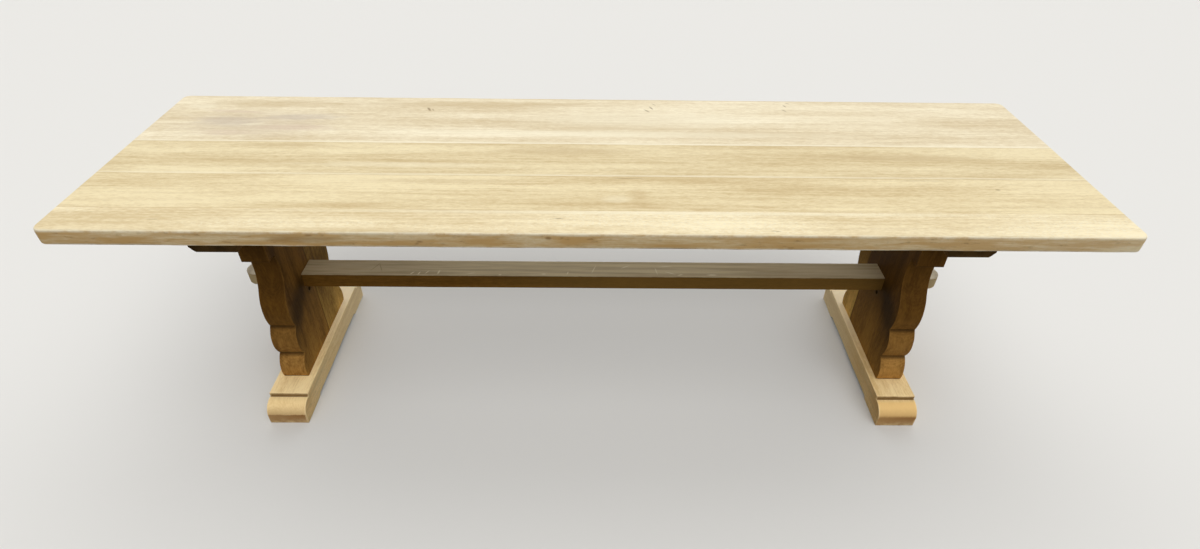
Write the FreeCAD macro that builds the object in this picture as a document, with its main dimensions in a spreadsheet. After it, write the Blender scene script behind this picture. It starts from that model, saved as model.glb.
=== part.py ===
import FreeCAD, Part
import os
import Sketcher

# Trestle dining table: a top of four boards on two scrolled slab trestles, tied by a keyed stretcher.
# X runs along the table, Y from the front to the back and Z up. The origin is on the floor, under the
# middle of the top. All lengths are in millimetres.

SIZES = {
    # Top
    "table_height": 760,
    "top_length": 2645,
    "top_width": 792,
    "top_thickness": 42,
    "top_corner_radius": 25,
    "top_arris_radius": 4.5,
    "top_lower_arris_radius": 3,
    # Loose tongues in the joints of the top
    "top_tongue_thickness": 12,
    "top_tongue_depth": 10,
    "top_tongue_stop": 60,
    # Trestles
    "trestle_setback": 372.5,
    "upright_thickness": 79,
    # Outline of an upright, from the foot up
    "lower_lobe_height": 81,
    "lower_lobe_rise": 14.5,
    "middle_lobe_height": 107,
    "middle_lobe_rise": 20,
    "belly_height": 126,
    "belly_rise": 16,
    "cove_height": 122,
    "cove_rise": 13.5,
    # Stub tenons of the uprights, and the loose tongues in their joints
    "upright_tenon_thickness": 28,
    "upright_tenon_setback": 30,
    "foot_tenon_length": 45,
    "bearer_tenon_length": 38,
    "mortise_slack": 1,
    "upright_tongue_thickness": 14,
    "upright_tongue_depth": 12,
    "upright_tongue_margin": 20,
    # Feet
    "foot_width": 120,
    "foot_height": 81,
    "nose_length": 51,
    "quirk_drop": 11,
    "quirk_ledge": 4,
    "toe_height": 37,
    "nose_rise": 11,
    "toe_undercut": 1,
    "relief_height": 9,
    "relief_slope": 9,
    # Bearers
    "bearer_width": 122,
    "bearer_height": 60,
    "bearer_setback": 60,
    "bearer_chamfer_width": 16,
    "bearer_chamfer_height": 14,
    # Screws from the bearers into the top
    "screw_shank_diameter": 5,
    "screw_head_diameter": 9.5,
    "screw_head_height": 3.5,
    "screw_slot_width": 1.4,
    "screw_slot_depth": 1.3,
    "screw_counterbore_diameter": 13,
    "screw_counterbore_depth": 30,
    "screw_bite": 28,
    "screw_hole_clearance": 0.25,
    "front_screw_offset": 15,
    "inner_screw_offset": 29,
    "rear_screw_inset": 30,
    # Stretcher
    "stretcher_underside": 322,
    "stretcher_depth": 82,
    "stretcher_height": 47,
    "stretcher_arris": 3,
    "stretcher_shoulder": 4.5,
    "tenon_projection": 103,
    # Keys
    "key_width": 28,
    "key_length": 112,
    "key_drop": 30,
    "key_head_thickness": 27,
    "key_tip_thickness": 17,
    "key_draw": 4,
    "key_clearance": 0.3,
    "key_arris": 3,
    # Bored hole under the stretcher on the inner face of each upright
    "peg_hole_diameter": 16,
    "peg_hole_depth": 30,
    "peg_hole_drop": 24,
    "peg_hole_offset": 16,
    # Length by which every cut passes the face that it opens
    "overrun": 5,
}

# Shares of the top's width. The front board takes what the other boards leave. A reach is a distance
# from the middle of the trestle, and a joint is the glue line of an upright, behind that middle.
WIDTH_SHARES = {
    "back_board_share": 0.4116,
    "second_board_share": 0.2399,
    "third_board_share": 0.2159,
    "foot_share": 0.8157,
    "relief_share": 0.5051,
    "base_reach_share": 0.2462,
    "lower_crease_reach_share": 0.2172,
    "upper_crease_reach_share": 0.2134,
    "waist_reach_share": 0.202,
    "neck_reach_share": 0.1869,
    "head_reach_share": 0.2311,
    "left_joint_share": 0.0303,
    "right_joint_share": 0.1263,
}

# Share of the overrun within which two places count as the same
MATCH_SHARE = 0.001


class Length:
    """A size worked out from the sheet: the expression that binds it and its present value."""

    def __init__(self, text, value):
        self.text = text
        self.value = value

    def combine(self, sign, other, value):
        other_text = other.text if isinstance(other, Length) else str(other)
        return Length(f"({self.text} {sign} {other_text})", value)

    def __add__(self, other):
        return self.combine("+", other, self.value + other.value)

    def __sub__(self, other):
        return self.combine("-", other, self.value - other.value)

    def __mul__(self, factor):
        number = factor.value if isinstance(factor, Length) else factor
        return self.combine("*", factor, self.value * number)

    def __truediv__(self, divisor):
        number = divisor.value if isinstance(divisor, Length) else divisor
        return self.combine("/", divisor, self.value / number)

    def __neg__(self):
        return Length(f"(-{self.text})", -self.value)

    def squared(self):
        return self * self


class Sheet:
    """The spreadsheet of driving dimensions; an attribute is the dimension of that name."""

    def __init__(self, document, sizes):
        self.cells = document.addObject("Spreadsheet::Sheet", "Sizes")
        for row, (name, value) in enumerate(sizes.items(), start=1):
            self.cells.set(f"A{row}", name)
            self.cells.set(f"B{row}", str(value))
            self.cells.setAlias(f"B{row}", name)
        document.recompute()

    def __getattr__(self, name):
        return Length(f"Sizes.{name}", float(self.cells.get(name)))


doc = FreeCAD.newDocument("trestle_dining_table")
size = Sheet(doc, {**SIZES, **WIDTH_SHARES})
ZERO = Length("0", 0.0)
pieces = []

# Levels, faces and joint lines that more than one piece follows
half_length = size.top_length / 2
half_width = size.top_width / 2
top_underside = size.table_height - size.top_thickness
bearer_underside = top_underside - size.bearer_height
bearer_half = half_width - size.bearer_setback
back_joint = half_width - size.top_width * size.back_board_share
middle_joint = back_joint - size.top_width * size.second_board_share
front_joint = middle_joint - size.top_width * size.third_board_share
trestle_centre = half_length - size.trestle_setback
upright_half = size.upright_thickness / 2
lower_crease = size.foot_height + size.lower_lobe_height
upper_crease = lower_crease + size.middle_lobe_height
waist = upper_crease + size.belly_height
head_underside = waist + size.cove_height
base_reach = size.top_width * size.base_reach_share
head_reach = size.top_width * size.head_reach_share
foot_tenon_reach = base_reach - size.upright_tenon_setback
bearer_tenon_reach = head_reach - size.upright_tenon_setback
stretcher_upperside = size.stretcher_underside + size.stretcher_height
stretcher_tenon_half = size.stretcher_depth / 2 - size.stretcher_shoulder
stretcher_tenon_bottom = size.stretcher_underside + size.stretcher_shoulder
stretcher_tenon_top = stretcher_upperside - size.stretcher_shoulder
screw_radius = size.screw_shank_diameter / 2
screw_hole_radius = screw_radius + size.screw_hole_clearance

SIDES = {"left": -1, "right": 1}
UPRIGHT_JOINTS = {
    "left": size.top_width * size.left_joint_share,
    "right": size.top_width * size.right_joint_share,
}
inner_screw_reach = head_reach + size.inner_screw_offset
SCREW_ROWS = {
    "front": [front_joint - size.front_screw_offset],
    "third": [-inner_screw_reach],
    "back": [inner_screw_reach, bearer_half - size.rear_screw_inset],
}
ALL_SCREW_ROWS = [row for rows in SCREW_ROWS.values() for row in rows]


# Drawing and shaping


def new_body(label):
    body = doc.addObject("PartDesign::Body", label)
    body.Label = label
    pieces.append(body)
    return body


def bind(target, prop, length):
    target.setExpression(prop, length.text)


def near(value, length):
    """True where a coordinate is a given length."""
    return abs(value - length.value) < size.overrun.value * MATCH_SHARE


def reflected(path):
    """A path mirrored across the middle and walked from its end; its arcs keep rise and direction."""
    places = [(-corner[0], corner[1]) for corner in path[::-1]]
    arcs = [corner[2:] for corner in path[::-1]][1:] + [()]
    return [place + arc for place, arc in zip(places, arcs)]


def new_sketch(body, plane, level=None):
    """A sketch on one of the body's own planes, moved along the plane's normal to a level."""
    sketch = body.newObject("Sketcher::SketchObject", f"{body.Name}_sketch")
    support = next(item for item in body.Origin.OriginFeatures if item.Role == plane)
    sketch.AttachmentSupport = [(support, "")]
    sketch.MapMode = "FlatFace"
    if level is not None:
        bind(sketch, "AttachmentOffset.Base.z", level)
    return sketch


def constrain(sketch, length, kind, *where):
    index = sketch.addConstraint(Sketcher.Constraint(kind, *where, length.value))
    bind(sketch, f"Constraints[{index}]", length)


def arc_radius(start, end, rise):
    """Radius of the arc between two corners that stands off their chord by the rise."""
    chord_squared = (end[0] - start[0]).squared() + (end[1] - start[1]).squared()
    return (chord_squared / 4 + rise.squared()) / (rise * 2)


def arc_between(start, end, rise, outward):
    """An arc that bulges right of the way from start to end, or left where outward is false."""
    first = FreeCAD.Vector(start[0].value, start[1].value, 0)
    last = FreeCAD.Vector(end[0].value, end[1].value, 0)
    along = (last - first).normalize()
    aside = FreeCAD.Vector(along.y, -along.x, 0) * (rise.value if outward else -rise.value)
    return Part.Arc(first, (first + last) / 2 + aside, last)


def draw(sketch, corners):
    """A closed outline, counter-clockwise. A corner is (across, up), and one with a rise and a
    direction after that starts an arc to the next corner: outward, inward, or a half round end
    between two corners that are equally far across."""
    base = sketch.GeometryCount
    count = len(corners)
    ends = []
    for index, corner in enumerate(corners):
        following = corners[(index + 1) % count]
        start = FreeCAD.Vector(corner[0].value, corner[1].value, 0)
        if len(corner) == 2:
            side = Part.LineSegment(start, FreeCAD.Vector(following[0].value, following[1].value, 0))
        else:
            side = arc_between(corner, following, corner[2], corner[3] != "inward")
        geometry = sketch.addGeometry(side)
        forward = near(sketch.getPoint(geometry, 1).distanceToPoint(start), ZERO)
        ends.append((1, 2) if forward else (2, 1))
    for index, corner in enumerate(corners):
        geometry = base + index
        following = (index + 1) % count
        place = (-1, 1, geometry, ends[index][0])
        sketch.addConstraint(
            Sketcher.Constraint("Coincident", geometry, ends[index][1], base + following, ends[following][0])
        )
        constrain(sketch, corner[0], "DistanceX", *place)
        constrain(sketch, corner[1], "DistanceY", *place)
        if len(corner) > 2 and corner[3] == "half round":
            constrain(sketch, corner[0], "DistanceX", -1, 1, geometry, 3)
        elif len(corner) > 2:
            constrain(sketch, arc_radius(corner, corners[following], corner[2]), "Radius", geometry)
    return sketch


def draw_box(sketch, left, right, low, high):
    return draw(sketch, [(left, low), (right, low), (right, high), (left, high)])


def draw_circle(sketch, across, up, radius):
    centre = FreeCAD.Vector(across.value, up.value, 0)
    geometry = sketch.addGeometry(Part.Circle(centre, FreeCAD.Vector(0, 0, 1), radius.value))
    constrain(sketch, across, "DistanceX", -1, 1, geometry, 3)
    constrain(sketch, up, "DistanceY", -1, 1, geometry, 3)
    constrain(sketch, radius, "Radius", geometry)


def pad(sketch, length, both_ways=False):
    """Thickens a sketch along its plane's normal, or half each way."""
    body = sketch.getParentGeoFeatureGroup()
    feature = body.newObject("PartDesign::Pad", f"{body.Name}_pad")
    feature.Profile = sketch
    feature.SideType = "Symmetric" if both_ways else "One side"
    bind(feature, "Length", length)
    doc.recompute()
    return feature


def pocket(sketch, length, both_ways=False, along_normal=False):
    """Cuts a sketch into its body, and stops if nothing was cut."""
    body = sketch.getParentGeoFeatureGroup()
    before = body.Shape.Volume
    feature = body.newObject("PartDesign::Pocket", f"{body.Name}_pocket")
    feature.Profile = sketch
    feature.SideType = "Symmetric" if both_ways else "One side"
    feature.Reversed = along_normal
    bind(feature, "Length", length)
    doc.recompute()
    if not body.Shape.Volume < before:
        raise RuntimeError(f"{feature.Name} cut nothing from {body.Label}")
    return feature


def edges_where(body, test):
    """Names of the edges of a body whose ends and middle all pass the test, in its own frame."""
    names = []
    for number, edge in enumerate(body.Tip.Shape.Edges, start=1):
        middle = edge.valueAt((edge.FirstParameter + edge.LastParameter) / 2)
        points = [vertex.Point for vertex in edge.Vertexes] + [middle]
        if all(test(point) for point in points):
            names.append(f"Edge{number}")
    return names


def dress(body, kind, prop, length, names):
    """Rounds (Fillet) or bevels (Chamfer) the named edges of a body."""
    base = body.Tip
    feature = body.newObject(f"PartDesign::{kind}", f"{body.Name}_{kind}")
    feature.Base = (base, names)
    bind(feature, prop, length)
    doc.recompute()
    return feature


# Top boards and the tongues between them


def make_top_board(label, front, back, front_joins, back_joins, screw_rows):
    """One board of the top, from its front to its back edge; an edge that joins is grooved."""
    body = new_body(label)
    bind(body, "Placement.Base.z", top_underside)
    pad(draw_box(new_sketch(body, "XY_Plane"), -half_length, half_length, front, back), size.top_thickness)
    edges = ((front, front_joins), (back, back_joins))
    free_edges = [edge for edge, joins in edges if not joins]
    joined_edges = [edge for edge, joins in edges if joins]
    for edge in free_edges:
        corners = edges_where(body, lambda p: near(abs(p.x), half_length) and near(p.y, edge))
        dress(body, "Fillet", "Radius", size.top_corner_radius, corners)
    for level, radius in ((size.top_thickness, size.top_arris_radius), (ZERO, size.top_lower_arris_radius)):
        dress(body, "Fillet", "Radius", radius, outline_edges(body, level, joined_edges))
    middle = size.top_thickness / 2
    half_groove = size.top_tongue_thickness / 2
    for edge in joined_edges:
        sketch = new_sketch(body, "YZ_Plane")
        draw_box(
            sketch, edge - size.top_tongue_depth, edge + size.top_tongue_depth,
            middle - half_groove, middle + half_groove,
        )
        pocket(sketch, size.top_length - size.top_tongue_stop * 2, both_ways=True)
    if screw_rows:
        sketch = new_sketch(body, "XY_Plane")
        for side in SIDES.values():
            for row in screw_rows:
                draw_circle(sketch, trestle_centre * side, row, screw_hole_radius)
        pocket(sketch, size.screw_bite + size.mortise_slack, along_normal=True)


def outline_edges(body, level, joined_edges):
    """Edges round the outline of a board on one level, without those on its joints."""
    on_level = edges_where(body, lambda p: near(p.z, level))
    on_joints = []
    for joint in joined_edges:
        on_joints += edges_where(body, lambda p: near(p.z, level) and near(p.y, joint))
    return [name for name in on_level if name not in on_joints]


def make_top_tongue(label, joint):
    tongue = doc.addObject("Part::Box", label)
    tongue.Label = label
    bind(tongue, "Length", size.top_length - size.top_tongue_stop * 2)
    bind(tongue, "Width", size.top_tongue_depth * 2)
    bind(tongue, "Height", size.top_tongue_thickness)
    bind(tongue, "Placement.Base.x", size.top_tongue_stop - half_length)
    bind(tongue, "Placement.Base.y", joint - size.top_tongue_depth)
    bind(tongue, "Placement.Base.z", top_underside + (size.top_thickness - size.top_tongue_thickness) / 2)
    pieces.append(tongue)


make_top_board("top_board_back", back_joint, half_width, True, False, SCREW_ROWS["back"])
make_top_board("top_board_second", middle_joint, back_joint, True, True, [])
make_top_board("top_board_third", front_joint, middle_joint, True, True, SCREW_ROWS["third"])
make_top_board("top_board_front", -half_width, front_joint, False, True, SCREW_ROWS["front"])
make_top_tongue("top_tongue_back", back_joint)
make_top_tongue("top_tongue_middle", middle_joint)
make_top_tongue("top_tongue_front", front_joint)


# Bearers and the screws that hold the top


def make_bearer(label, side):
    """A cross beam, chamfered below its outer side, mortised for the upright and bored for the screws."""
    body = new_body(label)
    bind(body, "Placement.Base.x", trestle_centre * side)
    bind(body, "Placement.Base.z", bearer_underside)
    side_face = size.bearer_width / 2
    profile = [
        (-side_face, ZERO),
        (side_face - size.bearer_chamfer_width, ZERO),
        (side_face, size.bearer_chamfer_height),
        (side_face, size.bearer_height),
        (-side_face, size.bearer_height),
    ]
    if side < 0:
        profile = reflected(profile)
    pad(draw(new_sketch(body, "XZ_Plane"), profile), bearer_half * 2, both_ways=True)
    cheek = size.upright_tenon_thickness / 2
    mortise = draw_box(new_sketch(body, "XY_Plane"), -cheek, cheek, -bearer_tenon_reach, bearer_tenon_reach)
    pocket(mortise, size.bearer_tenon_length + size.mortise_slack, along_normal=True)
    counterbores = new_sketch(body, "XY_Plane")
    holes = new_sketch(body, "XY_Plane")
    for row in ALL_SCREW_ROWS:
        draw_circle(counterbores, ZERO, row, size.screw_counterbore_diameter / 2)
        draw_circle(holes, ZERO, row, screw_hole_radius)
    pocket(counterbores, size.screw_counterbore_depth, along_normal=True)
    pocket(holes, size.bearer_height + size.overrun, along_normal=True)


def make_bearer_screws(label, side):
    """The row of pan-head screws of one bearer, heads down on the floors of the counterbores."""
    head_level = bearer_underside + size.screw_counterbore_depth
    shank_length = top_underside + size.screw_bite - head_level
    screws = []
    for number, row in enumerate(ALL_SCREW_ROWS, start=1):
        shank = doc.addObject("Part::Cylinder", f"{label}_shank_{number}")
        bind(shank, "Radius", screw_radius)
        bind(shank, "Height", shank_length)
        bind(shank, "Placement.Base.z", head_level)
        head = doc.addObject("Part::Cylinder", f"{label}_head_{number}")
        bind(head, "Radius", size.screw_head_diameter / 2)
        bind(head, "Height", size.screw_head_height)
        bind(head, "Placement.Base.z", head_level - size.screw_head_height)
        blank = doc.addObject("Part::Fuse", f"{label}_blank_{number}")
        blank.Base = shank
        blank.Tool = head
        slot = doc.addObject("Part::Box", f"{label}_slot_{number}")
        bind(slot, "Length", size.screw_head_diameter + size.overrun)
        bind(slot, "Width", size.screw_slot_width)
        bind(slot, "Height", size.screw_slot_depth + size.overrun)
        bind(slot, "Placement.Base.x", -(size.screw_head_diameter + size.overrun) / 2)
        bind(slot, "Placement.Base.y", -size.screw_slot_width / 2)
        bind(slot, "Placement.Base.z", head_level - size.screw_head_height - size.overrun)
        screw = doc.addObject("Part::Cut", f"{label}_{number}")
        screw.Base = blank
        screw.Tool = slot
        bind(screw, "Placement.Base.x", trestle_centre * side)
        bind(screw, "Placement.Base.y", row)
        screws.append(screw)
    group = doc.addObject("Part::Compound", label)
    group.Label = label
    group.Links = screws
    pieces.append(group)


# Uprights: two boards each, with their tongues


def upright_edge():
    """Corners of the scrolled rear edge of an upright, from the foot up."""
    return [
        (base_reach, size.foot_height, size.lower_lobe_rise, "outward"),
        (size.top_width * size.lower_crease_reach_share, lower_crease, size.middle_lobe_rise, "outward"),
        (size.top_width * size.upper_crease_reach_share, upper_crease, size.belly_rise, "outward"),
        (size.top_width * size.waist_reach_share, waist, size.cove_rise, "inward"),
        (size.top_width * size.neck_reach_share, head_underside),
        (head_reach, head_underside),
        (head_reach, bearer_underside),
    ]


def make_upright_board(label, side, joint, is_front):
    """The part of an upright in front of or behind its glue joint."""
    body = new_body(label)
    bind(body, "Placement.Base.x", trestle_centre * side)
    edge = upright_edge()
    if is_front:
        outline = [(joint, size.foot_height), (joint, bearer_underside)] + reflected(edge)
        tenon_ends = (-foot_tenon_reach, -bearer_tenon_reach)
    else:
        outline = edge + [(joint, bearer_underside), (joint, size.foot_height)]
        tenon_ends = (foot_tenon_reach, bearer_tenon_reach)
    pad(draw(new_sketch(body, "YZ_Plane"), outline), size.upright_thickness, both_ways=True)
    tenons = new_sketch(body, "YZ_Plane")
    low_near, low_far = sorted((tenon_ends[0], joint), key=lambda length: length.value)
    high_near, high_far = sorted((tenon_ends[1], joint), key=lambda length: length.value)
    draw_box(tenons, low_near, low_far, size.foot_height - size.foot_tenon_length, size.foot_height)
    draw_box(tenons, high_near, high_far, bearer_underside, bearer_underside + size.bearer_tenon_length)
    pad(tenons, size.upright_tenon_thickness, both_ways=True)
    if is_front or joint.value < stretcher_tenon_half.value:
        mortise = new_sketch(body, "YZ_Plane")
        draw_box(
            mortise, -stretcher_tenon_half, stretcher_tenon_half, stretcher_tenon_bottom, stretcher_tenon_top
        )
        pocket(mortise, size.upright_thickness + size.overrun, both_ways=True)
    grooves = new_sketch(body, "YZ_Plane")
    for low, high in upright_tongue_spans():
        draw_box(grooves, joint - size.upright_tongue_depth, joint + size.upright_tongue_depth, low, high)
    pocket(grooves, size.upright_tongue_thickness, both_ways=True)
    if is_front:
        peg_hole = new_sketch(body, "YZ_Plane", upright_half * -side)
        peg_level = size.stretcher_underside - size.peg_hole_drop
        draw_circle(peg_hole, -size.peg_hole_offset, peg_level, size.peg_hole_diameter / 2)
        pocket(peg_hole, size.peg_hole_depth, along_normal=side > 0)


def upright_tongue_spans():
    """Lowest and highest level of the tongue below the stretcher and of the one above it."""
    margin = size.upright_tongue_margin
    return [
        (size.foot_height + margin, size.stretcher_underside - margin),
        (stretcher_upperside + margin, bearer_underside - margin),
    ]


def make_upright_tongues(label, side, joint):
    tongues = []
    for number, (low, high) in enumerate(upright_tongue_spans(), start=1):
        tongue = doc.addObject("Part::Box", f"{label}_{number}")
        bind(tongue, "Length", size.upright_tongue_thickness)
        bind(tongue, "Width", size.upright_tongue_depth * 2)
        bind(tongue, "Height", high - low)
        bind(tongue, "Placement.Base.x", trestle_centre * side - size.upright_tongue_thickness / 2)
        bind(tongue, "Placement.Base.y", joint - size.upright_tongue_depth)
        bind(tongue, "Placement.Base.z", low)
        tongues.append(tongue)
    group = doc.addObject("Part::Compound", label)
    group.Label = label
    group.Links = tongues
    pieces.append(group)


# Feet


def make_foot(label, side):
    """A sledge foot: a step, a round nose and a toe at each end, mortised on top and relieved below."""
    body = new_body(label)
    bind(body, "Placement.Base.x", trestle_centre * side)
    tip = size.top_width * size.foot_share / 2
    top_end = tip - size.nose_length
    ledge_level = size.foot_height - size.quirk_drop
    relief_end = size.top_width * size.relief_share / 2
    pad_end = relief_end + size.relief_slope
    rear_half = [
        (relief_end, size.relief_height),
        (pad_end, ZERO),
        (tip - size.toe_undercut, ZERO),
        (tip, size.toe_height, size.nose_rise, "outward"),
        (top_end + size.quirk_ledge, ledge_level),
        (top_end, ledge_level),
        (top_end, size.foot_height),
    ]
    outline = rear_half + reflected(rear_half)
    pad(draw(new_sketch(body, "YZ_Plane"), outline), size.foot_width, both_ways=True)
    cheek = size.upright_tenon_thickness / 2
    mortise = new_sketch(body, "XY_Plane", size.foot_height)
    draw_box(mortise, -cheek, cheek, -foot_tenon_reach, foot_tenon_reach)
    pocket(mortise, size.foot_tenon_length + size.mortise_slack)


for side_name, side in SIDES.items():
    joint = UPRIGHT_JOINTS[side_name]
    make_bearer(f"bearer_{side_name}", side)
    make_bearer_screws(f"bearer_screws_{side_name}", side)
    make_upright_board(f"upright_{side_name}_front", side, joint, True)
    make_upright_board(f"upright_{side_name}_rear", side, joint, False)
    make_upright_tongues(f"upright_{side_name}_tongues", side, joint)
    make_foot(f"foot_{side_name}", side)


# Stretcher and keys

inner_face = trestle_centre - upright_half
outer_face = trestle_centre + upright_half
key_tip_level = stretcher_tenon_bottom - size.key_drop
key_head_level = key_tip_level + size.key_length
key_seat = outer_face + size.key_clearance
key_slope = (size.key_head_thickness - size.key_tip_thickness) / size.key_length


def key_back(level):
    """Distance from the table's middle to the key's sloping back at a level."""
    return key_seat + size.key_tip_thickness + (level - key_tip_level) * key_slope


def make_stretcher():
    """A rail with round-ended through tenons, each with a sloping slot for its key."""
    body = new_body("stretcher")
    half_depth = size.stretcher_depth / 2
    rail = new_sketch(body, "YZ_Plane")
    draw_box(rail, -half_depth, half_depth, size.stretcher_underside, stretcher_upperside)
    pad(rail, inner_face * 2, both_ways=True)
    for level in (size.stretcher_underside, stretcher_upperside):
        rail_edges = edges_where(body, lambda p: near(p.z, level) and near(abs(p.y), half_depth))
        dress(body, "Fillet", "Radius", size.stretcher_arris, rail_edges)
    round_centre = outer_face + size.tenon_projection - stretcher_tenon_half
    tenon = new_sketch(body, "XY_Plane", stretcher_tenon_bottom)
    draw(tenon, [
        (-round_centre, -stretcher_tenon_half),
        (round_centre, -stretcher_tenon_half, stretcher_tenon_half, "half round"),
        (round_centre, stretcher_tenon_half),
        (-round_centre, stretcher_tenon_half, stretcher_tenon_half, "half round"),
    ])
    pad(tenon, stretcher_tenon_top - stretcher_tenon_bottom)
    low = stretcher_tenon_bottom - size.overrun
    high = stretcher_tenon_top + size.overrun
    slot_start = outer_face - size.key_draw
    for side in SIDES.values():
        corners = [
            (slot_start, low),
            (key_back(low) + size.key_clearance, low),
            (key_back(high) + size.key_clearance, high),
            (slot_start, high),
        ]
        slot = new_sketch(body, "XZ_Plane")
        draw(slot, corners if side > 0 else reflected(corners))
        pocket(slot, size.key_width + size.key_clearance * 2, both_ways=True)


def make_key(label, side):
    """A wedge, upright against the trestle's outer face and sloping on its other side."""
    body = new_body(label)
    corners = [
        (key_seat, key_tip_level),
        (key_back(key_tip_level), key_tip_level),
        (key_back(key_head_level), key_head_level),
        (key_seat, key_head_level),
    ]
    outline = corners if side > 0 else reflected(corners)
    pad(draw(new_sketch(body, "XZ_Plane"), outline), size.key_width, both_ways=True)
    dress(body, "Chamfer", "Size", size.key_arris, edges_where(body, lambda p: near(p.z, key_head_level)))


make_stretcher()
for side_name, side in SIDES.items():
    make_key(f"key_{side_name}", side)


# Checks and export

doc.recompute()
for item in doc.Objects:
    if "Invalid" in item.State or "Error" in item.State:
        raise RuntimeError(f"{item.Label} failed: {item.State}")
for piece in pieces:
    if piece.Shape.isNull() or not piece.Shape.isValid():
        raise RuntimeError(f"{piece.Label} has no valid shape")

os.makedirs("parts", exist_ok=True)
for piece in pieces:
    piece.Shape.exportStep(f"parts/{piece.Label}.step")
    print(f"{piece.Label}: {len(piece.Shape.Solids)} solids, {piece.Shape.Volume:.0f} cubic mm")
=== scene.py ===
import math

import bmesh
import bpy
from bpy.props import FloatProperty, FloatVectorProperty, IntProperty, PointerProperty
from mathutils import Matrix, Vector, noise


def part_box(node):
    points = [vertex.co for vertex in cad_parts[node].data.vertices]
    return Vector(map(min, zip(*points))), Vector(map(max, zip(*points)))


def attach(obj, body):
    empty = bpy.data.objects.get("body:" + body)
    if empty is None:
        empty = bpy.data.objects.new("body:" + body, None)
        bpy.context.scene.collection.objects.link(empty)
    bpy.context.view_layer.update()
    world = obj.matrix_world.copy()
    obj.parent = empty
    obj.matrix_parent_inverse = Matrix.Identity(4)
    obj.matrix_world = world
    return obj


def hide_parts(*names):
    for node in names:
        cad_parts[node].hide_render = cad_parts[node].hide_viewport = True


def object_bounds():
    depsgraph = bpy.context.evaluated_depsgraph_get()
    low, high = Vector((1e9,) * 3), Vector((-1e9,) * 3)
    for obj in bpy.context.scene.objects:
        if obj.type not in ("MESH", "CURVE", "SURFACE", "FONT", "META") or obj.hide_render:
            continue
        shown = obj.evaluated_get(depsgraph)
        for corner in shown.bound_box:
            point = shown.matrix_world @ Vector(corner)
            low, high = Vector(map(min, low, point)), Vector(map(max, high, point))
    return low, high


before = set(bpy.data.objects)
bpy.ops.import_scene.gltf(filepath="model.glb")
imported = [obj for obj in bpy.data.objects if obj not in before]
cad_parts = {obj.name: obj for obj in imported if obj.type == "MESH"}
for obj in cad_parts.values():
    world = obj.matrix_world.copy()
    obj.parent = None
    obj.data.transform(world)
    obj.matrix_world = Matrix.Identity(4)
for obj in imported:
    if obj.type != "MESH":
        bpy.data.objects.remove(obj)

CAD_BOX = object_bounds()

bl_info = {
    "name": "Trestle dining table",
    "version": (1, 0, 0),
    "blender": (4, 5, 0),
    "location": "3D View > Sidebar > Trestle table",
    "description": "Finishes the packed trestle table in sanded oak and sets it on a studio floor",
    "category": "Object",
}

SIDES = ("left", "right")
TOP_BOARDS = ("top_board_back", "top_board_second", "top_board_third", "top_board_front")
# Loose tongues by the direction of their grain
TONGUES = {
    "X": ("top_tongue_back", "top_tongue_middle", "top_tongue_front"),
    "Z": ("upright_left_tongues", "upright_right_tongues"),
}
SCREW_NODES = ("bearer_screws_left", "bearer_screws_right")

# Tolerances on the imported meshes, in metres, and the angles that tell faces and arrises apart
WELD = 1e-6
SAME_LEVEL = 1e-5
ON_FACE = 1e-4
SQUARE = 0.999
FLAT_ANGLE = math.radians(0.5)
ARRIS_ANGLE = math.radians(25)
SHARP_ANGLE = math.radians(38)


def points_of(node):
    return [vert.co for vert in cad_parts[node].data.vertices]


def near(value, place):
    return abs(value - place) < ON_FACE


# Places of the table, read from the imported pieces, in metres

TOP_UNDERSIDE, TOP_LEVEL = (corner.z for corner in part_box("top_board_back"))
RAIL_LOW, RAIL_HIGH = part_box("stretcher")
OUTER_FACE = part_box("upright_right_front")[1].x
BEARER_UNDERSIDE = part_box("bearer_left")[0].z
FOOT_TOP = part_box("foot_left")[1].z
FOOT_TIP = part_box("foot_left")[1].y
# Reach of the step of a foot, level of the ledge below it and level of the top of the toe
STEP = max(point.y for point in points_of("foot_left") if point.z > FOOT_TOP - SAME_LEVEL)
LEDGE = max(point.z for point in points_of("foot_left") if near(point.y, STEP) and point.z < FOOT_TOP - ON_FACE)
TOE = max(point.z for point in points_of("foot_left") if near(point.y, FOOT_TIP))


# Settings that a user may change


def length_setting(name, description, default, low, high):
    return FloatProperty(
        name=name, description=description, default=default, min=low, max=high, unit="LENGTH", precision=4
    )


def colour_setting(name, description, default):
    return FloatVectorProperty(
        name=name, description=description, default=default, size=3, min=0, max=1, subtype="COLOR"
    )


def light_setting(name, description, default, high):
    return FloatProperty(name=name, description=description, default=default, min=0, max=high)


class TableShape(bpy.types.PropertyGroup):
    """Sizes of the finishing work on the wood."""

    trestle_arris: length_setting(
        "Trestle arris", "Rounding of the worn arrises of uprights, feet and bearers", 0.0018, 0.0005, 0.006
    )
    joint_easing: length_setting(
        "Joint easing", "Width by which the edges of glued boards are eased", 0.0006, 0.0001, 0.002
    )
    key_arris: length_setting("Key arris", "Rounding of the long arrises of the keys", 0.0012, 0.0003, 0.003)
    arris_wear: length_setting("Arris wear", "Greatest depth to which an arris is rubbed down", 0.0011, 0.0, 0.003)
    top_wear: length_setting(
        "Wear of the top", "Greatest depth to which the arrises of the top are rubbed down", 0.002, 0.0, 0.004
    )
    wear_band: length_setting("Wear band", "Width of the rubbed band beside an arris", 0.006, 0.003, 0.012)
    mesh_step: length_setting(
        "Mesh step", "Length of the pieces into which long arrises are divided", 0.022, 0.01, 0.1
    )
    screw_turn_seed: IntProperty(
        name="Screw turn seed", description="Picks how far each screw was turned", default=4
    )


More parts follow.
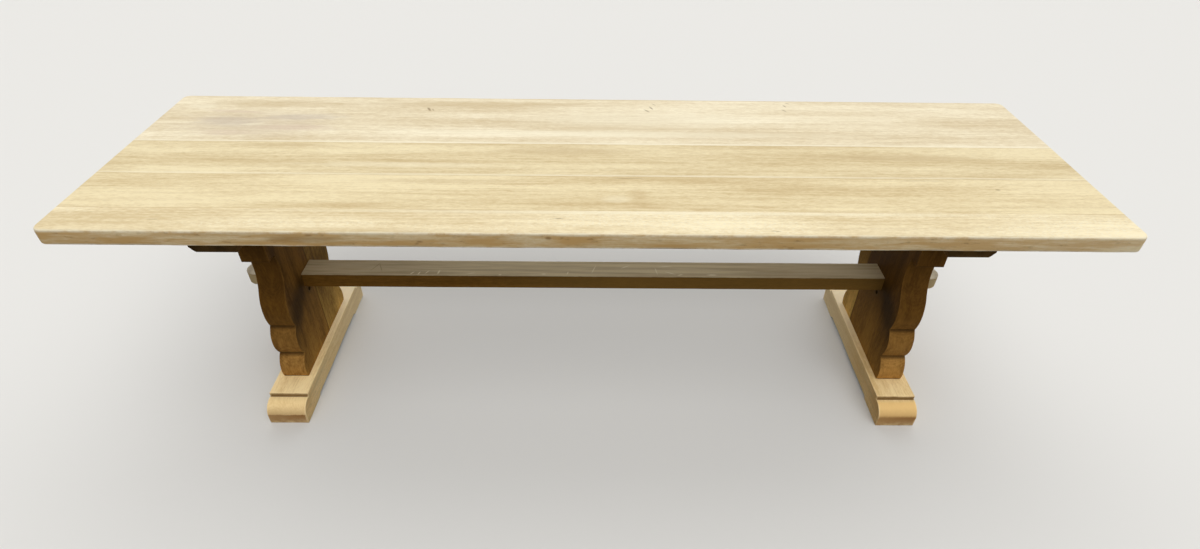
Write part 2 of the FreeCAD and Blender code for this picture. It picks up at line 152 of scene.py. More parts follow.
class TableFinish(bpy.types.PropertyGroup):
    """Colours of the wood and the steel."""

    back_board: colour_setting("Back board", "Oak of the widest board of the top", (0.742, 0.678, 0.512))
    second_board: colour_setting("Second board", "Oak of the second board of the top", (0.675, 0.587, 0.378))
    third_board: colour_setting("Third board", "Oak of the third board of the top", (0.683, 0.590, 0.375))
    front_board: colour_setting("Front board", "Oak of the narrow front board of the top", (0.757, 0.675, 0.463))
    top_edge: colour_setting("Edge of the top", "Handled oak on the long edges of the top", (0.545, 0.35, 0.14))
    upright: colour_setting("Uprights", "Oak of the trestle uprights", (0.42, 0.225, 0.06))
    foot: colour_setting("Feet", "Oak of the feet", (0.97, 0.765, 0.42))
    # the bearers' colour holds painted shade of the top
    bearer: colour_setting("Bearers", "Oak of the bearers", (0.18, 0.098, 0.03))
    # the dark sides and the pale upper side of the stretcher are partly painted shade and painted light
    stretcher: colour_setting("Stretcher", "Oak on the sides of the stretcher", (0.165, 0.08, 0.014))
    stretcher_top: colour_setting(
        "Top of the stretcher", "Oak on the rubbed upper side of the stretcher", (0.77, 0.655, 0.43)
    )
    key: colour_setting("Keys", "Oak of the wedges", (0.62, 0.42, 0.19))
    tongue: colour_setting("Tongues", "Planed wood of the loose tongues", (0.66, 0.52, 0.32))
    steel: colour_setting("Screw steel", "Dulled steel of the screws", (0.52, 0.51, 0.49))


class StageLook(bpy.types.PropertyGroup):
    """Floor and light."""

    floor: colour_setting("Floor", "Colour of the studio floor", (0.70, 0.70, 0.69))
    floor_bounce: colour_setting(
        "Floor bounce", "Colour by which the floor throws light back on the table", (0.13, 0.125, 0.12)
    )
    zenith: light_setting("Light overhead", "Brightness of the light tent overhead", 0.15, 4)
    horizon: light_setting("Light low down", "Brightness of the light tent near the floor", 0.35, 4)
    front_glow: light_setting("Front light", "Brightness of the broad light high in front", 2.6, 8)
    back_glow: light_setting("Back light", "Brightness of the broad light high behind", 1.3, 8)


# Wood meshes

BEVEL_STEPS = 3
# Uneven wear of an arris: waves per metre, and the share of the depth that each adds to the even part
EVEN_WEAR = 0.35
LONG_WAVE, LONG_WEAR = 7.0, 0.75
SHORT_WAVE, SHORT_WEAR = 31.0, 0.35


def merged_copy(node):
    """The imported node's triangles, welded, with its flat faces whole again."""
    bm = bmesh.new()
    bm.from_mesh(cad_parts[node].data)
    bmesh.ops.remove_doubles(bm, verts=bm.verts[:], dist=WELD)
    bmesh.ops.dissolve_limit(bm, angle_limit=FLAT_ANGLE, verts=bm.verts[:], edges=bm.edges[:])
    return bm


def steps_between(low, high, step):
    """Places that divide a length into equal steps of about the given size, ends left out."""
    count = max(1, round((high - low) / step))
    return [low + (high - low) * index / count for index in range(1, count)]


def cut_across(bm, axis, places):
    """Divides every face at the given places along an axis."""
    normal = Vector([float(index == axis) for index in range(3)])
    for place in places:
        geometry = bm.verts[:] + bm.edges[:] + bm.faces[:]
        bmesh.ops.bisect_plane(bm, geom=geometry, dist=WELD, plane_co=normal * place, plane_no=normal)


def ring_faces(bm, axis, places, width):
    """Sets a band inside the outline of the flat faces that lie square to an axis at one of the places."""
    faces = [
        face for face in bm.faces
        if abs(face.normal[axis]) > SQUARE
        and any(near(face.calc_center_median()[axis], place) for place in places)
    ]
    bmesh.ops.inset_region(bm, faces=faces, thickness=width, use_even_offset=True, use_boundary=True)


def middle_of(edge):
    return (edge.verts[0].co + edge.verts[1].co) / 2


def box_of(points):
    """Lowest and highest corner of the box around the points."""
    low = Vector([min(point[axis] for point in points) for axis in range(3)])
    high = Vector([max(point[axis] for point in points) for axis in range(3)])
    return low, high


def settled_mesh(obj):
    """The object's mesh with its modifiers worked in; the object itself is removed."""
    bpy.context.scene.collection.objects.link(obj)
    bpy.context.view_layer.update()
    evaluated = obj.evaluated_get(bpy.context.evaluated_depsgraph_get())
    mesh = bpy.data.meshes.new_from_object(evaluated)
    bpy.data.objects.remove(obj)
    return mesh


def mesh_of(bm, name):
    mesh = bpy.data.meshes.new(name)
    bm.to_mesh(mesh)
    bm.free()
    return mesh


def rounded(bm, name, width, weigh):
    """Rounds the arrises by the share of the width that weigh(edge) gives, and marks the new faces."""
    layer = bm.edges.layers.float.new("bevel_weight_edge")
    for edge in bm.edges:
        if len(edge.link_faces) == 2 and edge.is_convex and edge.calc_face_angle() > ARRIS_ANGLE:
            edge[layer] = weigh(edge)
    mesh = mesh_of(bm, name)
    mesh.materials.append(None)
    mesh.materials.append(None)
    plain = bpy.data.objects.new(name, mesh)
    bevel = plain.modifiers.new("arrises", "BEVEL")
    bevel.limit_method = "WEIGHT"
    bevel.width = width
    bevel.segments = BEVEL_STEPS
    bevel.material = 1
    made = settled_mesh(plain)
    result = bmesh.new()
    result.from_mesh(made)
    bpy.data.meshes.remove(made)
    bpy.data.meshes.remove(mesh)
    return result


def bevelled(face):
    return face.material_index == 1


def rub_arrises(bm, depth, is_arris):
    """Writes the arris attribute and rubs the arrises down unevenly, always into the wood."""
    layer = bm.verts.layers.float.new("arris")
    for face in bm.faces:
        if is_arris(face):
            for vert in face.verts:
                vert[layer] = 1.0
        face.material_index = 0
    bm.normal_update()
    moves = []
    for vert in bm.verts:
        if vert[layer] > 0:
            share = EVEN_WEAR + LONG_WEAR * noise.noise(vert.co * LONG_WAVE)
            share += SHORT_WEAR * noise.noise(vert.co * SHORT_WAVE)
            moves.append((vert, vert.normal * -depth * min(1.0, max(0.0, share))))
    for vert, move in moves:
        vert.co += move


def show_piece(name, mesh, body, slot, *nodes):
    """Links a finished piece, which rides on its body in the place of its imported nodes."""
    mesh.name = name
    piece = bpy.data.objects.new(name, mesh)
    bpy.context.scene.collection.objects.link(piece)
    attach(piece, body)
    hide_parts(*nodes)


def finish_piece(bm, name, material, body, slot, node):
    """Makes the shown piece of a mesh: smooth faces with sharp corners kept."""
    for face in bm.faces:
        face.smooth = True
    for edge in bm.edges:
        edge.smooth = len(edge.link_faces) == 2 and edge.calc_face_angle() < SHARP_ANGLE
    mesh = mesh_of(bm, name)
    draft = bpy.data.objects.new(name + "_draft", mesh)
    draft.modifiers.new("flat faces", "WEIGHTED_NORMAL").keep_sharp = True
    made = settled_mesh(draft)
    bpy.data.meshes.remove(mesh)
    made.materials.clear()
    made.materials.append(material)
    show_piece(name, made, body, slot, node)


# Shader wiring


class Wiring:
    """Adds nodes to one tree; an input is fed by a number, a colour, a vector or another node's socket."""

    def __init__(self, tree):
        self.tree = tree

    def feed(self, socket, value):
        if isinstance(value, bpy.types.NodeSocket):
            self.tree.links.new(value, socket)
        elif socket.type == "RGBA" and len(value) == 3:
            socket.default_value = (*value, 1.0)
        else:
            socket.default_value = value

    def node(self, kind, inputs=None, **settings):
        made = self.tree.nodes.new(kind)
        for name, value in settings.items():
            setattr(made, name, value)
        for key, value in (inputs or {}).items():
            self.feed(made.inputs[key], value)
        return made

    def math(self, operation, first, second=0.0, clamp=False):
        return self.node("ShaderNodeMath", {0: first, 1: second}, operation=operation, use_clamp=clamp).outputs[0]

    def times(self, first, *others):
        for other in others:
            first = self.math("MULTIPLY", first, other)
        return first

    def plus(self, first, *others):
        for other in others:
            first = self.math("ADD", first, other)
        return first

    def minus(self, first, second, clamp=False):
        return self.math("SUBTRACT", first, second, clamp)

    def rest_of(self, mask):
        return self.minus(1.0, mask)

    def size_of(self, value):
        return self.math("ABSOLUTE", value)

    def vector(self, operation, first, second):
        return self.node("ShaderNodeVectorMath", {0: first, 1: second}, operation=operation).outputs[0]

    def length_of(self, vector):
        return self.node("ShaderNodeVectorMath", {0: vector}, operation="LENGTH").outputs["Value"]

    def parts(self, vector):
        return self.node("ShaderNodeSeparateXYZ", {0: vector}).outputs

    def mix(self, factor, first, second, blend="MIX"):
        made = self.node("ShaderNodeMix", {0: factor}, data_type="RGBA", blend_type=blend)
        self.feed(made.inputs[6], first)
        self.feed(made.inputs[7], second)
        return made.outputs[2]

    def ease(self, value, low, high, start=0.0, end=1.0):
        """Smooth step from start to end while the value goes from low to high."""
        inputs = {0: value, 1: low, 2: high, 3: start, 4: end}
        return self.node("ShaderNodeMapRange", inputs, interpolation_type="SMOOTHSTEP").outputs[0]

    def fade(self, value, low, high, start=1.0, end=0.0):
        """Smooth step down."""
        return self.ease(value, low, high, start, end)

    def cloud(self, vector, scale, seed, detail=2.0, roughness=0.5):
        """Noise with its own scale along each axis."""
        scaled = self.vector("MULTIPLY", vector, scale)
        inputs = {"Vector": scaled, "W": seed, "Scale": 1.0, "Detail": detail, "Roughness": roughness}
        return self.node("ShaderNodeTexNoise", inputs, noise_dimensions="4D").outputs[0]

    def group(self, name, inputs):
        return self.node("ShaderNodeGroup", inputs, node_tree=shared_effect(name)).outputs


# Noises of the oak figure: scale along and across the grain, detail, roughness
FIGURE_NOISES = {
    "Wander": (1.1, 5.0, 2.0, 0.5),
    "Bands": (1.3, 14.0, 3.0, 0.55),
    "Streaks": (3.0, 48.0, 3.0, 0.65),
    "Fibres": (45.0, 400.0, 2.0, 0.6),
    "Mottle": (28.0, 90.0, 4.0, 0.6),
    "Speckle": (60.0, 210.0, 2.0, 0.7),
    "Pits": (75.0, 1100.0, 1.0, 0.5),
    "Rays": (130.0, 240.0, 2.0, 0.5),
}
# How far the year rings stray sideways, in metres, and along their phase
RING_WANDER, RING_JITTER = 0.07, 0.6


def oak_figure(wires, given):
    """Figure of oak with the grain along X: slow bands, streaks, year rings, fibres, pores and flecks."""
    noises = {
        name: wires.cloud(given["Vector"], (along, across, across), given["Seed"], detail, roughness)
        for name, (along, across, detail, roughness) in FIGURE_NOISES.items()
    }
    place = wires.parts(given["Vector"])
    side = wires.plus(place["Y"], wires.times(noises["Wander"], RING_WANDER))
    squares = wires.plus(wires.math("POWER", side, 2.0), wires.math("POWER", place["Z"], 2.0))
    years = wires.math("DIVIDE", wires.math("SQRT", squares), given["Ring Spacing"])
    phase = wires.math("FRACT", wires.plus(years, wires.times(noises["Streaks"], RING_JITTER)))
    early, late = wires.fade(phase, 0.0, 0.35), wires.ease(phase, 0.55, 1.0)
    rings = wires.math("MAXIMUM", early, late)
    pores = wires.times(wires.ease(noises["Pits"], 0.56, 0.68), wires.plus(wires.times(early, 0.7), 0.3))
    flecks = wires.times(wires.ease(noises["Rays"], 0.5, 0.62), wires.ease(noises["Bands"], 0.4, 0.6))
    height = wires.minus(wires.times(noises["Fibres"], 0.6), pores)
    made = {**noises, "Rings": rings, "Pores": pores, "Flecks": flecks, "Height": height}
    return [made[part] for part in FIGURE_PARTS]


def soft_mark(wires, given):
    """An oval mark on the face of a board, turned about the upright axis, with a ragged edge."""
    offset = wires.vector("SUBTRACT", given["Vector"], given["Centre"])
    turn = {"Vector": offset, "Angle": given["Turn"]}
    turned = wires.node("ShaderNodeVectorRotate", turn, rotation_type="Z_AXIS").outputs[0]
    reach = wires.length_of(wires.vector("DIVIDE", turned, given["Half Size"]))
    speckle = wires.cloud(given["Vector"], (14.0, 70.0, 70.0), 3.0, 3.0, 0.6)
    edge = wires.plus(reach, wires.times(wires.minus(speckle, 0.5), given["Ragged"]))
    return [wires.fade(edge, 0.25, 1.0)]


def rubbed_arris(wires, given):
    """Where an arris has been rubbed: the arris attribute broken up along its length."""
    coarse = wires.cloud(given["Vector"], (22.0, 22.0, 22.0), 1.0, 4.0, 0.65)
    broken = wires.times(wires.math("POWER", given["Arris"], 2.2), wires.ease(coarse, 0.3, 0.62))
    return [wires.math("MULTIPLY", broken, given["Amount"], clamp=True)]


def joint_line(wires, given):
    """A thin uneven line beside the joints of a board at two places across the table."""
    across = wires.parts(given["Vector"])["Y"]
    from_joints = [wires.size_of(wires.minus(across, given[joint])) for joint in ("Front", "Back")]
    nearest = wires.math("DIVIDE", wires.math("MINIMUM", *from_joints), given["Width"])
    patchy = wires.cloud(given["Vector"], (3.5, 3.0, 3.0), given["Seed"], 4.0, 0.6)
    return [wires.times(wires.fade(nearest, 0.3, 1.0), wires.ease(patchy, 0.42, 0.62, given["Least"], 1.0))]


FIGURE_PARTS = ("Bands", "Streaks", "Rings", "Fibres", "Pores", "Flecks", "Mottle", "Speckle", "Height")
# Shader node groups: inputs with their defaults (None for a vector), outputs, and what wires them
SHARED_EFFECTS = {
    "Oak figure": ({"Vector": None, "Seed": 0.0, "Ring Spacing": 0.006}, FIGURE_PARTS, oak_figure),
    "Soft mark": (
        {"Vector": None, "Centre": None, "Half Size": None, "Turn": 0.0, "Ragged": 0.8}, ("Mask",), soft_mark
    ),
    "Rubbed arris": ({"Vector": None, "Arris": 0.0, "Amount": 0.5}, ("Mask",), rubbed_arris),
    "Joint line": (
        {"Vector": None, "Front": 0.0, "Back": 0.0, "Width": 0.001, "Least": 0.0, "Seed": 0.0},
        ("Mask",),
        joint_line,
    ),
}


def shared_effect(name):
    """The shader node group of that name, made on its first use."""
    if name in bpy.data.node_groups:
        return bpy.data.node_groups[name]
    inputs, outputs, wire_up = SHARED_EFFECTS[name]
    tree = bpy.data.node_groups.new(name, "ShaderNodeTree")
    for label, default in inputs.items():
        kind = "NodeSocketVector" if default is None else "NodeSocketFloat"
        socket = tree.interface.new_socket(label, in_out="INPUT", socket_type=kind)
        if default is not None:
            socket.default_value = default
    for label in outputs:
        tree.interface.new_socket(label, in_out="OUTPUT", socket_type="NodeSocketFloat")
    wires = Wiring(tree)
    made = wire_up(wires, wires.node("NodeGroupInput").outputs)
    wires.node("NodeGroupOutput", dict(zip(outputs, made)))
    return tree


def shaded(colour, factor, warmth=0.0):
    """A lighter or darker cousin of a colour; warmth above zero takes more of the blue out."""
    return (colour[0] * factor, colour[1] * factor * (1 - 0.4 * warmth), colour[2] * factor * (1 - warmth))


def start_material(name):
    material = bpy.data.materials.new(name)
    material.use_nodes = True
    material.node_tree.nodes.clear()
    wires = Wiring(material.node_tree)
    return material, wires, wires.node("ShaderNodeTexCoord").outputs


def end_material(wires, colour, roughness, height, bump_distance, bump_strength, plain):
    """Ends a material in its surface; plain holds the values that are the same all over."""
    bump = {"Height": height, "Distance": bump_distance, "Strength": bump_strength}
    inputs = {"Base Color": colour, "Roughness": roughness, **plain}
    inputs["Normal"] = wires.node("ShaderNodeBump", bump).outputs[0]
    surface = wires.node("ShaderNodeBsdfPrincipled", inputs)
    wires.node("ShaderNodeOutputMaterial", {0: surface.outputs[0]})


GRAIN_TURNS = {"X": (0.0, 0.0, 0.0), "Y": (0.0, 0.0, math.pi / 2), "Z": (0.0, math.pi / 2, 0.0)}
# Share of each part of the figure in the tone of the wood
FIGURE_WEIGHTS = {"Bands": 2.1, "Streaks": 0.8, "Fibres": 0.7, "Rings": -0.14, "Mottle": 0.55, "Speckle": 0.9}
DARK_WARMTH = 0.26
PORE_STAIN, END_GRAIN_STAIN = 0.4, 0.4
GRAIN_DEPTH = 0.0007
MARK_DEPTH = 0.02
# From where a face starts to look along an axis to where it fully does
FACING = (0.5, 0.9)
# What pores and bands add to the roughness, and what rubbing takes away
PORE_ROUGHNESS, BAND_ROUGHNESS, RUBBED_POLISH = 0.15, 0.2, 0.12


class Oak:
    """An oak material in the making: its figure, its colour so far and its arris wear."""

    def __init__(
        self, name, grain, colour, seed, pith=(0.0, 0.0, 0.0), contrast=1.0, spacing=0.006, dark=0.82, light=1.14
    ):
        self.material, self.wires, coordinates = start_material(name)
        wires = self.wires
        self.vector = coordinates["Object"]
        self.place, self.facing = wires.parts(self.vector), wires.parts(coordinates["Normal"])
        from_pith = wires.vector("ADD", self.vector, tuple(-part for part in pith))
        turn = {"Vector": from_pith, "Rotation": GRAIN_TURNS[grain]}
        along_grain = wires.node("ShaderNodeMapping", turn).outputs[0]
        inputs = {"Vector": along_grain, "Seed": seed, "Ring Spacing": spacing}
        self.figure = wires.group("Oak figure", inputs)
        tones = [wires.times(self.swing(part), weight) for part, weight in FIGURE_WEIGHTS.items()]
        tone = wires.math("ADD", wires.times(wires.plus(*tones), contrast), 0.5, clamp=True)
        self.colour = wires.mix(tone, shaded(colour, dark, DARK_WARMTH), shaded(colour, light))
        self.stain(shaded(colour, 0.5, 0.2), self.figure["Pores"], PORE_STAIN)
        end_grain = wires.ease(wires.size_of(self.facing[grain]), 0.6, 0.95)
        self.stain(shaded(colour, 0.62, 0.12), end_grain, END_GRAIN_STAIN)

    def swing(self, part):
        """How far a part of the figure is above or below its middle."""
        return self.wires.minus(self.figure[part], 0.5)

    def stain(self, colour, *masks):
        """Covers the wood with a colour by the product of the masks."""
        self.colour = self.wires.mix(self.wires.times(*masks), self.colour, colour)

    def tint(self, colour, *masks):
        """Darkens the wood by a colour by the product of the masks."""
        self.colour = self.wires.mix(self.wires.times(*masks), self.colour, colour, "MULTIPLY")

    def mark(self, centre, half_size, turn, colour, strength, level=TOP_LEVEL, half_height=MARK_DEPTH):
        """Stains an oval, by default on the upper face of the top."""
        inputs = {
            "Vector": self.vector,
            "Centre": (*centre, level),
            "Half Size": (*half_size, half_height),
            "Turn": math.radians(-turn),
        }
        self.stain(colour, self.wires.group("Soft mark", inputs)["Mask"], strength)

    def joint(self, colour, strength, front, back, width, least, seed):
        """Stains the wood beside the joints at two places across the table."""
        inputs = {"Vector": self.vector, "Front": front, "Back": back, "Width": width, "Least": least, "Seed": seed}
        self.stain(colour, self.wires.group("Joint line", inputs)["Mask"], strength)

    def facing_mask(self, axis, low=0.3, high=0.7):
        """One on faces that look either way along an axis."""
        return self.wires.ease(self.wires.size_of(self.facing[axis]), low, high)

    def finish(self, wear_colour, wear_amount, roughness=0.66, specular=0.25, bump=0.35):
        wires = self.wires
        arris = wires.node("ShaderNodeAttribute", attribute_name="arris").outputs["Fac"]
        inputs = {"Vector": self.vector, "Arris": arris, "Amount": wear_amount}
        rubbed = wires.group("Rubbed arris", inputs)["Mask"]
        self.stain(wear_colour, rubbed)
        rough = wires.plus(wires.times(self.figure["Pores"], PORE_ROUGHNESS), roughness)
        rough = wires.minus(rough, wires.times(rubbed, RUBBED_POLISH))
        rough = wires.plus(rough, wires.times(self.swing("Bands"), BAND_ROUGHNESS))
        plain = {"Specular IOR Level": specular}
        end_material(wires, self.colour, rough, self.figure["Height"], GRAIN_DEPTH, bump, plain)
        return self.material


# Top boards

GREY_STAIN = (0.485, 0.415, 0.345)
PINK_STAIN = (0.57, 0.435, 0.33)
TAN_STREAK = (0.50, 0.38, 0.20)
PALE_STREAK = (0.805, 0.745, 0.57)
DARK_NICK = (0.20, 0.13, 0.06)
BROWN_STAIN = (0.40, 0.25, 0.085)
UNDERSIDE_SHADE = (0.184, 0.109, 0.04)

# Marks on the boards: place along and across the table, half length and half width, turn in degrees,
# colour, strength
BOARD_MARKS = {
    "top_board_back": (
        ((-1.02, 0.190), (0.32, 0.125), 0, GREY_STAIN, 0.28),
        ((-0.89, 0.238), (0.17, 0.032), 4, GREY_STAIN, 0.46),
        ((-0.90, 0.165), (0.16, 0.030), 0, PINK_STAIN, 0.46),
        ((-1.10, 0.205), (0.12, 0.045), -6, GREY_STAIN, 0.42),
        ((-1.08, 0.130), (0.12, 0.025), 0, PINK_STAIN, 0.32),
        ((-1.03, 0.335), (0.28, 0.040), 0, TAN_STREAK, 0.50),
        ((-1.10, 0.275), (0.12, 0.014), -4, PINK_STAIN, 0.40),
        ((-1.22, 0.310), (0.06, 0.022), 0, PALE_STREAK, 0.45),
        ((-1.02, 0.188), (0.05, 0.009), 8, PALE_STREAK, 0.45),
        ((-0.39, 0.346), (0.66, 0.036), 0, TAN_STREAK, 0.45),
        ((0.30, 0.392), (1.30, 0.012), 0, TAN_STREAK, 0.40),
        ((0.86, 0.256), (0.40, 0.130), 0, TAN_STREAK, 0.16),
        ((0.17, 0.235), (0.50, 0.090), 0, PALE_STREAK, 0.45),
        ((0.10, 0.140), (0.90, 0.032), 0, PALE_STREAK, 0.55),
        ((0.00, 0.0755), (2.60, 0.006), 0, PALE_STREAK, 0.80),
        ((-0.520, 0.304), (0.020, 0.006), -62, DARK_NICK, 0.75),
        ((-0.507, 0.300), (0.011, 0.004), -65, DARK_NICK, 0.45),
        ((0.177, 0.327), (0.018, 0.0045), -67, DARK_NICK, 0.60),
        ((0.161, 0.308), (0.017, 0.0050), -52, DARK_NICK, 0.60),
        ((0.186, 0.357), (0.014, 0.0040), -53, DARK_NICK, 0.40),
        ((0.605, 0.353), (0.014, 0.0045), -72, DARK_NICK, 0.55),
        ((0.597, 0.317), (0.013, 0.0040), -51, DARK_NICK, 0.50),
        ((0.618, 0.374), (0.009, 0.0040), -19, DARK_NICK, 0.45),
    ),
    "top_board_second": (
        ((-0.08, 0.027), (0.28, 0.034), 0, TAN_STREAK, 0.50),
        ((0.86, 0.002), (0.34, 0.028), 0, TAN_STREAK, 0.55),
        ((-0.90, 0.052), (0.22, 0.014), 0, TAN_STREAK, 0.45),
        ((-0.55, -0.060), (0.40, 0.018), 0, PALE_STREAK, 0.30),
        ((0.00, -0.113), (2.60, 0.006), 0, PALE_STREAK, 0.55),
    ),
    "top_board_third": (
        ((-0.176, -0.161), (0.125, 0.004), 1.5, BROWN_STAIN, 0.45),
        ((-0.40, -0.150), (0.30, 0.018), 0, TAN_STREAK, 0.40),
        ((0.112, -0.222), (0.036, 0.060), 12, BROWN_STAIN, 0.24),
        ((0.120, -0.272), (0.085, 0.012), 0, BROWN_STAIN, 0.34),
        ((0.052, -0.235), (0.055, 0.024), 0, PALE_STREAK, 0.28),
        ((-0.60, -0.270), (0.12, 0.017), 0, BROWN_STAIN, 0.24),
        ((0.265, -0.283), (0.045, 0.008), 0, BROWN_STAIN, 0.32),
        ((0.423, -0.270), (0.040, 0.009), 0, BROWN_STAIN, 0.28),
        ((1.054, -0.172), (0.009, 0.006), 0, DARK_NICK, 0.45),
        ((0.088, -0.127), (0.062, 0.0022), 0, DARK_NICK, 0.50),
        ((0.873, -0.127), (0.090, 0.0022), 0, DARK_NICK, 0.50),
    ),
    "top_board_front": (
        ((-0.088, -0.328), (0.016, 0.004), 4, DARK_NICK, 0.50),
        ((0.430, -0.378), (0.016, 0.004), -8, DARK_NICK, 0.40),
        ((-1.06, -0.345), (0.018, 0.003), 0, DARK_NICK, 0.30),
        ((-0.55, -0.385), (0.50, 0.014), 0, TAN_STREAK, 0.30),
        ((0.10, -0.300), (1.20, 0.010), 0, PALE_STREAK, 0.45),
    ),
}
# Knots and stains on the front edge of the top: place along the table, height, half length, half height, strength
EDGE_STAINS = (
    (-0.690, 0.739, 0.140, 0.014, 0.45),
    (-0.110, 0.7475, 0.011, 0.006, 0.75),
    (-0.673, 0.7515, 0.013, 0.004, 0.60),
    (-0.414, 0.7355, 0.012, 0.005, 0.55),
    (-0.012, 0.7455, 0.012, 0.004, 0.40),
)
# Setting that holds each board's colour, seed of its figure and share of its pale flecks
BOARD_LOOKS = {
    "top_board_back": ("back_board", 2.3, 0.10),
    "top_board_second": ("second_board", 11.7, 0.10),
    "top_board_third": ("third_board", 5.9, 0.10),
    "top_board_front": ("front_board", 17.1, 0.6),
}
# The pith of the tree lay this far below the top
PITH_DEPTH = 0.05
# Middle of the most handled part of the long edges, and how far from it the handling fades
HANDLED_MIDDLE, HANDLED_FADE = -0.35, (0.9, 1.7)


def board_joints(node):
    """Places across the table of the front and the back joint of a board; an outer board has one joint."""
    low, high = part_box(node)
    front = high.y if near(low.y, CAD_BOX[0].y) else low.y
    back = low.y if near(high.y, CAD_BOX[1].y) else high.y
    return front, back


def board_material(node, finish):
    """Pale sanded oak of one board of the top, with its stains, nicks and joint lines."""
    low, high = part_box(node)
    colour, seed, flecked = BOARD_LOOKS[node]
    pith = (0.0, (low.y + high.y) / 2, TOP_UNDERSIDE - PITH_DEPTH)
    oak = Oak(f"sanded_oak_{node}", "X", getattr(finish, colour), seed, pith, contrast=1.2)
    wires = oak.wires
    for mark in BOARD_MARKS[node]:
        oak.mark(*mark)
    oak.stain(PALE_STREAK, oak.figure["Flecks"], flecked)
    ragged = wires.times(oak.swing("Mottle"), 0.9)
    edge = wires.ease(wires.plus(wires.size_of(oak.facing["Y"]), ragged), *FACING)
    blotches = wires.cloud(oak.vector, (5.0, 5.0, 45.0), 8.0, 4.0, 0.65)
    from_middle = wires.size_of(wires.minus(oak.place["X"], HANDLED_MIDDLE))
    handled = wires.fade(from_middle, *HANDLED_FADE, 1.0, 0.76)
    edge = wires.times(edge, wires.ease(blotches, 0.36, 0.58, 0.35, 1.0), handled)
    oak.stain(finish.top_edge, edge)
    dents = wires.cloud(oak.vector, (34.0, 34.0, 110.0), 4.0, 3.0, 0.6)
    oak.stain(shaded(finish.top_edge, 0.4), wires.ease(dents, 0.56, 0.74, 0.0, 0.6), edge)
    if node == "top_board_front":
        knot = shaded(finish.top_edge, 0.45, 0.2)
        for along, level, half_length, half_height, strength in EDGE_STAINS:
            oak.mark((along, low.y), (half_length, MARK_DEPTH), 0, knot, strength, level, half_height)
    oak.joint(BROWN_STAIN, 0.5, *board_joints(node), width=0.0018, least=0.12, seed=seed)
    # painted shade on the faces of the top that look down
    oak.stain(UNDERSIDE_SHADE, wires.fade(oak.facing["Z"], -0.9, -0.5), 0.55)
    return oak.finish(PALE_STREAK, 0.75, roughness=0.62, specular=0.22, bump=0.28)


def make_top_board(node, shape, finish):
    """One board: its eased joints, its divided outline and its rubbed arrises."""
    low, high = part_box(node)
    bm = merged_copy(node)
    levels = (TOP_UNDERSIDE, TOP_LEVEL)
    ring_faces(bm, 2, levels, shape.wear_band)
    cut_across(bm, 0, steps_between(low.x, high.x, shape.mesh_step))
    cut_across(bm, 2, (TOP_UNDERSIDE + 1.5 * shape.wear_band, TOP_LEVEL - 1.8 * shape.wear_band))
    joints = board_joints(node)

    def weigh(edge):
        middle = middle_of(edge)
        on_joint = any(near(middle.y, joint) for joint in joints)
        return 1.0 if on_joint and any(near(middle.z, level) for level in levels) else 0.0

    def is_arris(face):
        return 0.04 < abs(face.normal.z) < 0.996 and not bevelled(face)

    bm = rounded(bm, node, shape.joint_easing, weigh)
    rub_arrises(bm, shape.top_wear, is_arris)
    finish_piece(bm, node.replace("top_board", "oak_board"), board_material(node, finish), "table", "top_oak", node)


# Trestles


def make_trestle_piece(node, material, shape, grain_axis, weight):
    """A piece of a trestle: bands on its two broad faces, cuts along it and rounded, rubbed arrises."""
    low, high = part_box(node)
    broad = (low.x, high.x)
    bm = merged_copy(node)
    ring_faces(bm, 0, broad, shape.wear_band)
    cut_across(bm, 0, (low.x + shape.wear_band, high.x - shape.wear_band))
    cut_across(bm, grain_axis, steps_between(low[grain_axis], high[grain_axis], shape.mesh_step))
    margin = shape.wear_band * 0.9

    def weigh(edge):
        first, second = ends = [vert.co for vert in edge.verts]
        on_broad = any(near(end.x, place) for end in ends for place in broad)
        crossing = near(first.y, second.y) and near(first.z, second.z)
        crossing = crossing and abs(first.x - second.x) > (high.x - low.x) / 2
        inside = all(low.x + margin < end.x < high.x - margin for end in ends)
        return weight(edge) if on_broad or (crossing and inside) else 0.0

    bm = rounded(bm, node, shape.trestle_arris, weigh)
    rub_arrises(bm, shape.arris_wear, bevelled)
    finish_piece(bm, f"oak_{node}", material, "table", "trestle_oak", node)


# Uprights

UPRIGHT_SEEDS = {
    "upright_left_front": 16.587,
    "upright_left_rear": 15.698,
    "upright_right_front": 17.392,
    "upright_right_rear": 16.503,
}
# Levels on the uprights, in metres: full painted shade of the top, foot of the painted shadow below the stretcher
TOP_SHADE_LEVEL = 0.375
STRETCHER_SHADOW_LEVEL = 0.20
# Levels between which the rear inner face is spared the painted shade of the top, the front strip gets its painted
# light, the left inner face comes out of the painted shade and the left head goes into it
SPARED_LEVELS = (0.28, 0.40)
STRIP_LEVELS = (0.2, 0.3)
SHADE_LEVELS = (0.20, 0.34)
HEAD_LEVELS = (0.52, 0.60)
# Soft edge of the painted light strip along the front of an inner face, across the table
PAINTED_LIGHT_STRIP = (-0.125, -0.105)
# Painted shade of the top on the upper uprights, painted shade on the front inner faces by side, a tint on the rear
# inner faces, painted shade on the left head
TOP_SHADE_TINT = (0.20, 0.155, 0.04)
TOP_SHADE_SHARE = {"left": 0.92, "right": 0.86}
FRONT_INNER_SHADE = {"left": (0.64, 0.62, 0.52), "right": (0.55, 0.52, 0.40)}
REAR_INNER_TINT = (0.88, 1.0, 1.0)
HEAD_SHADE_TINT = (0.55, 0.45, 0.2)
# Painted shadow behind the belly of the scroll, an oval: middle, tilt, half size; it runs through the thickness
SHADOW_OVAL = {
    "Location": (0.0, -0.122, 0.302),
    "Rotation": (math.radians(36), 0.0, 0.0),
    "Scale": (1000.0, 0.115, 0.05),
}
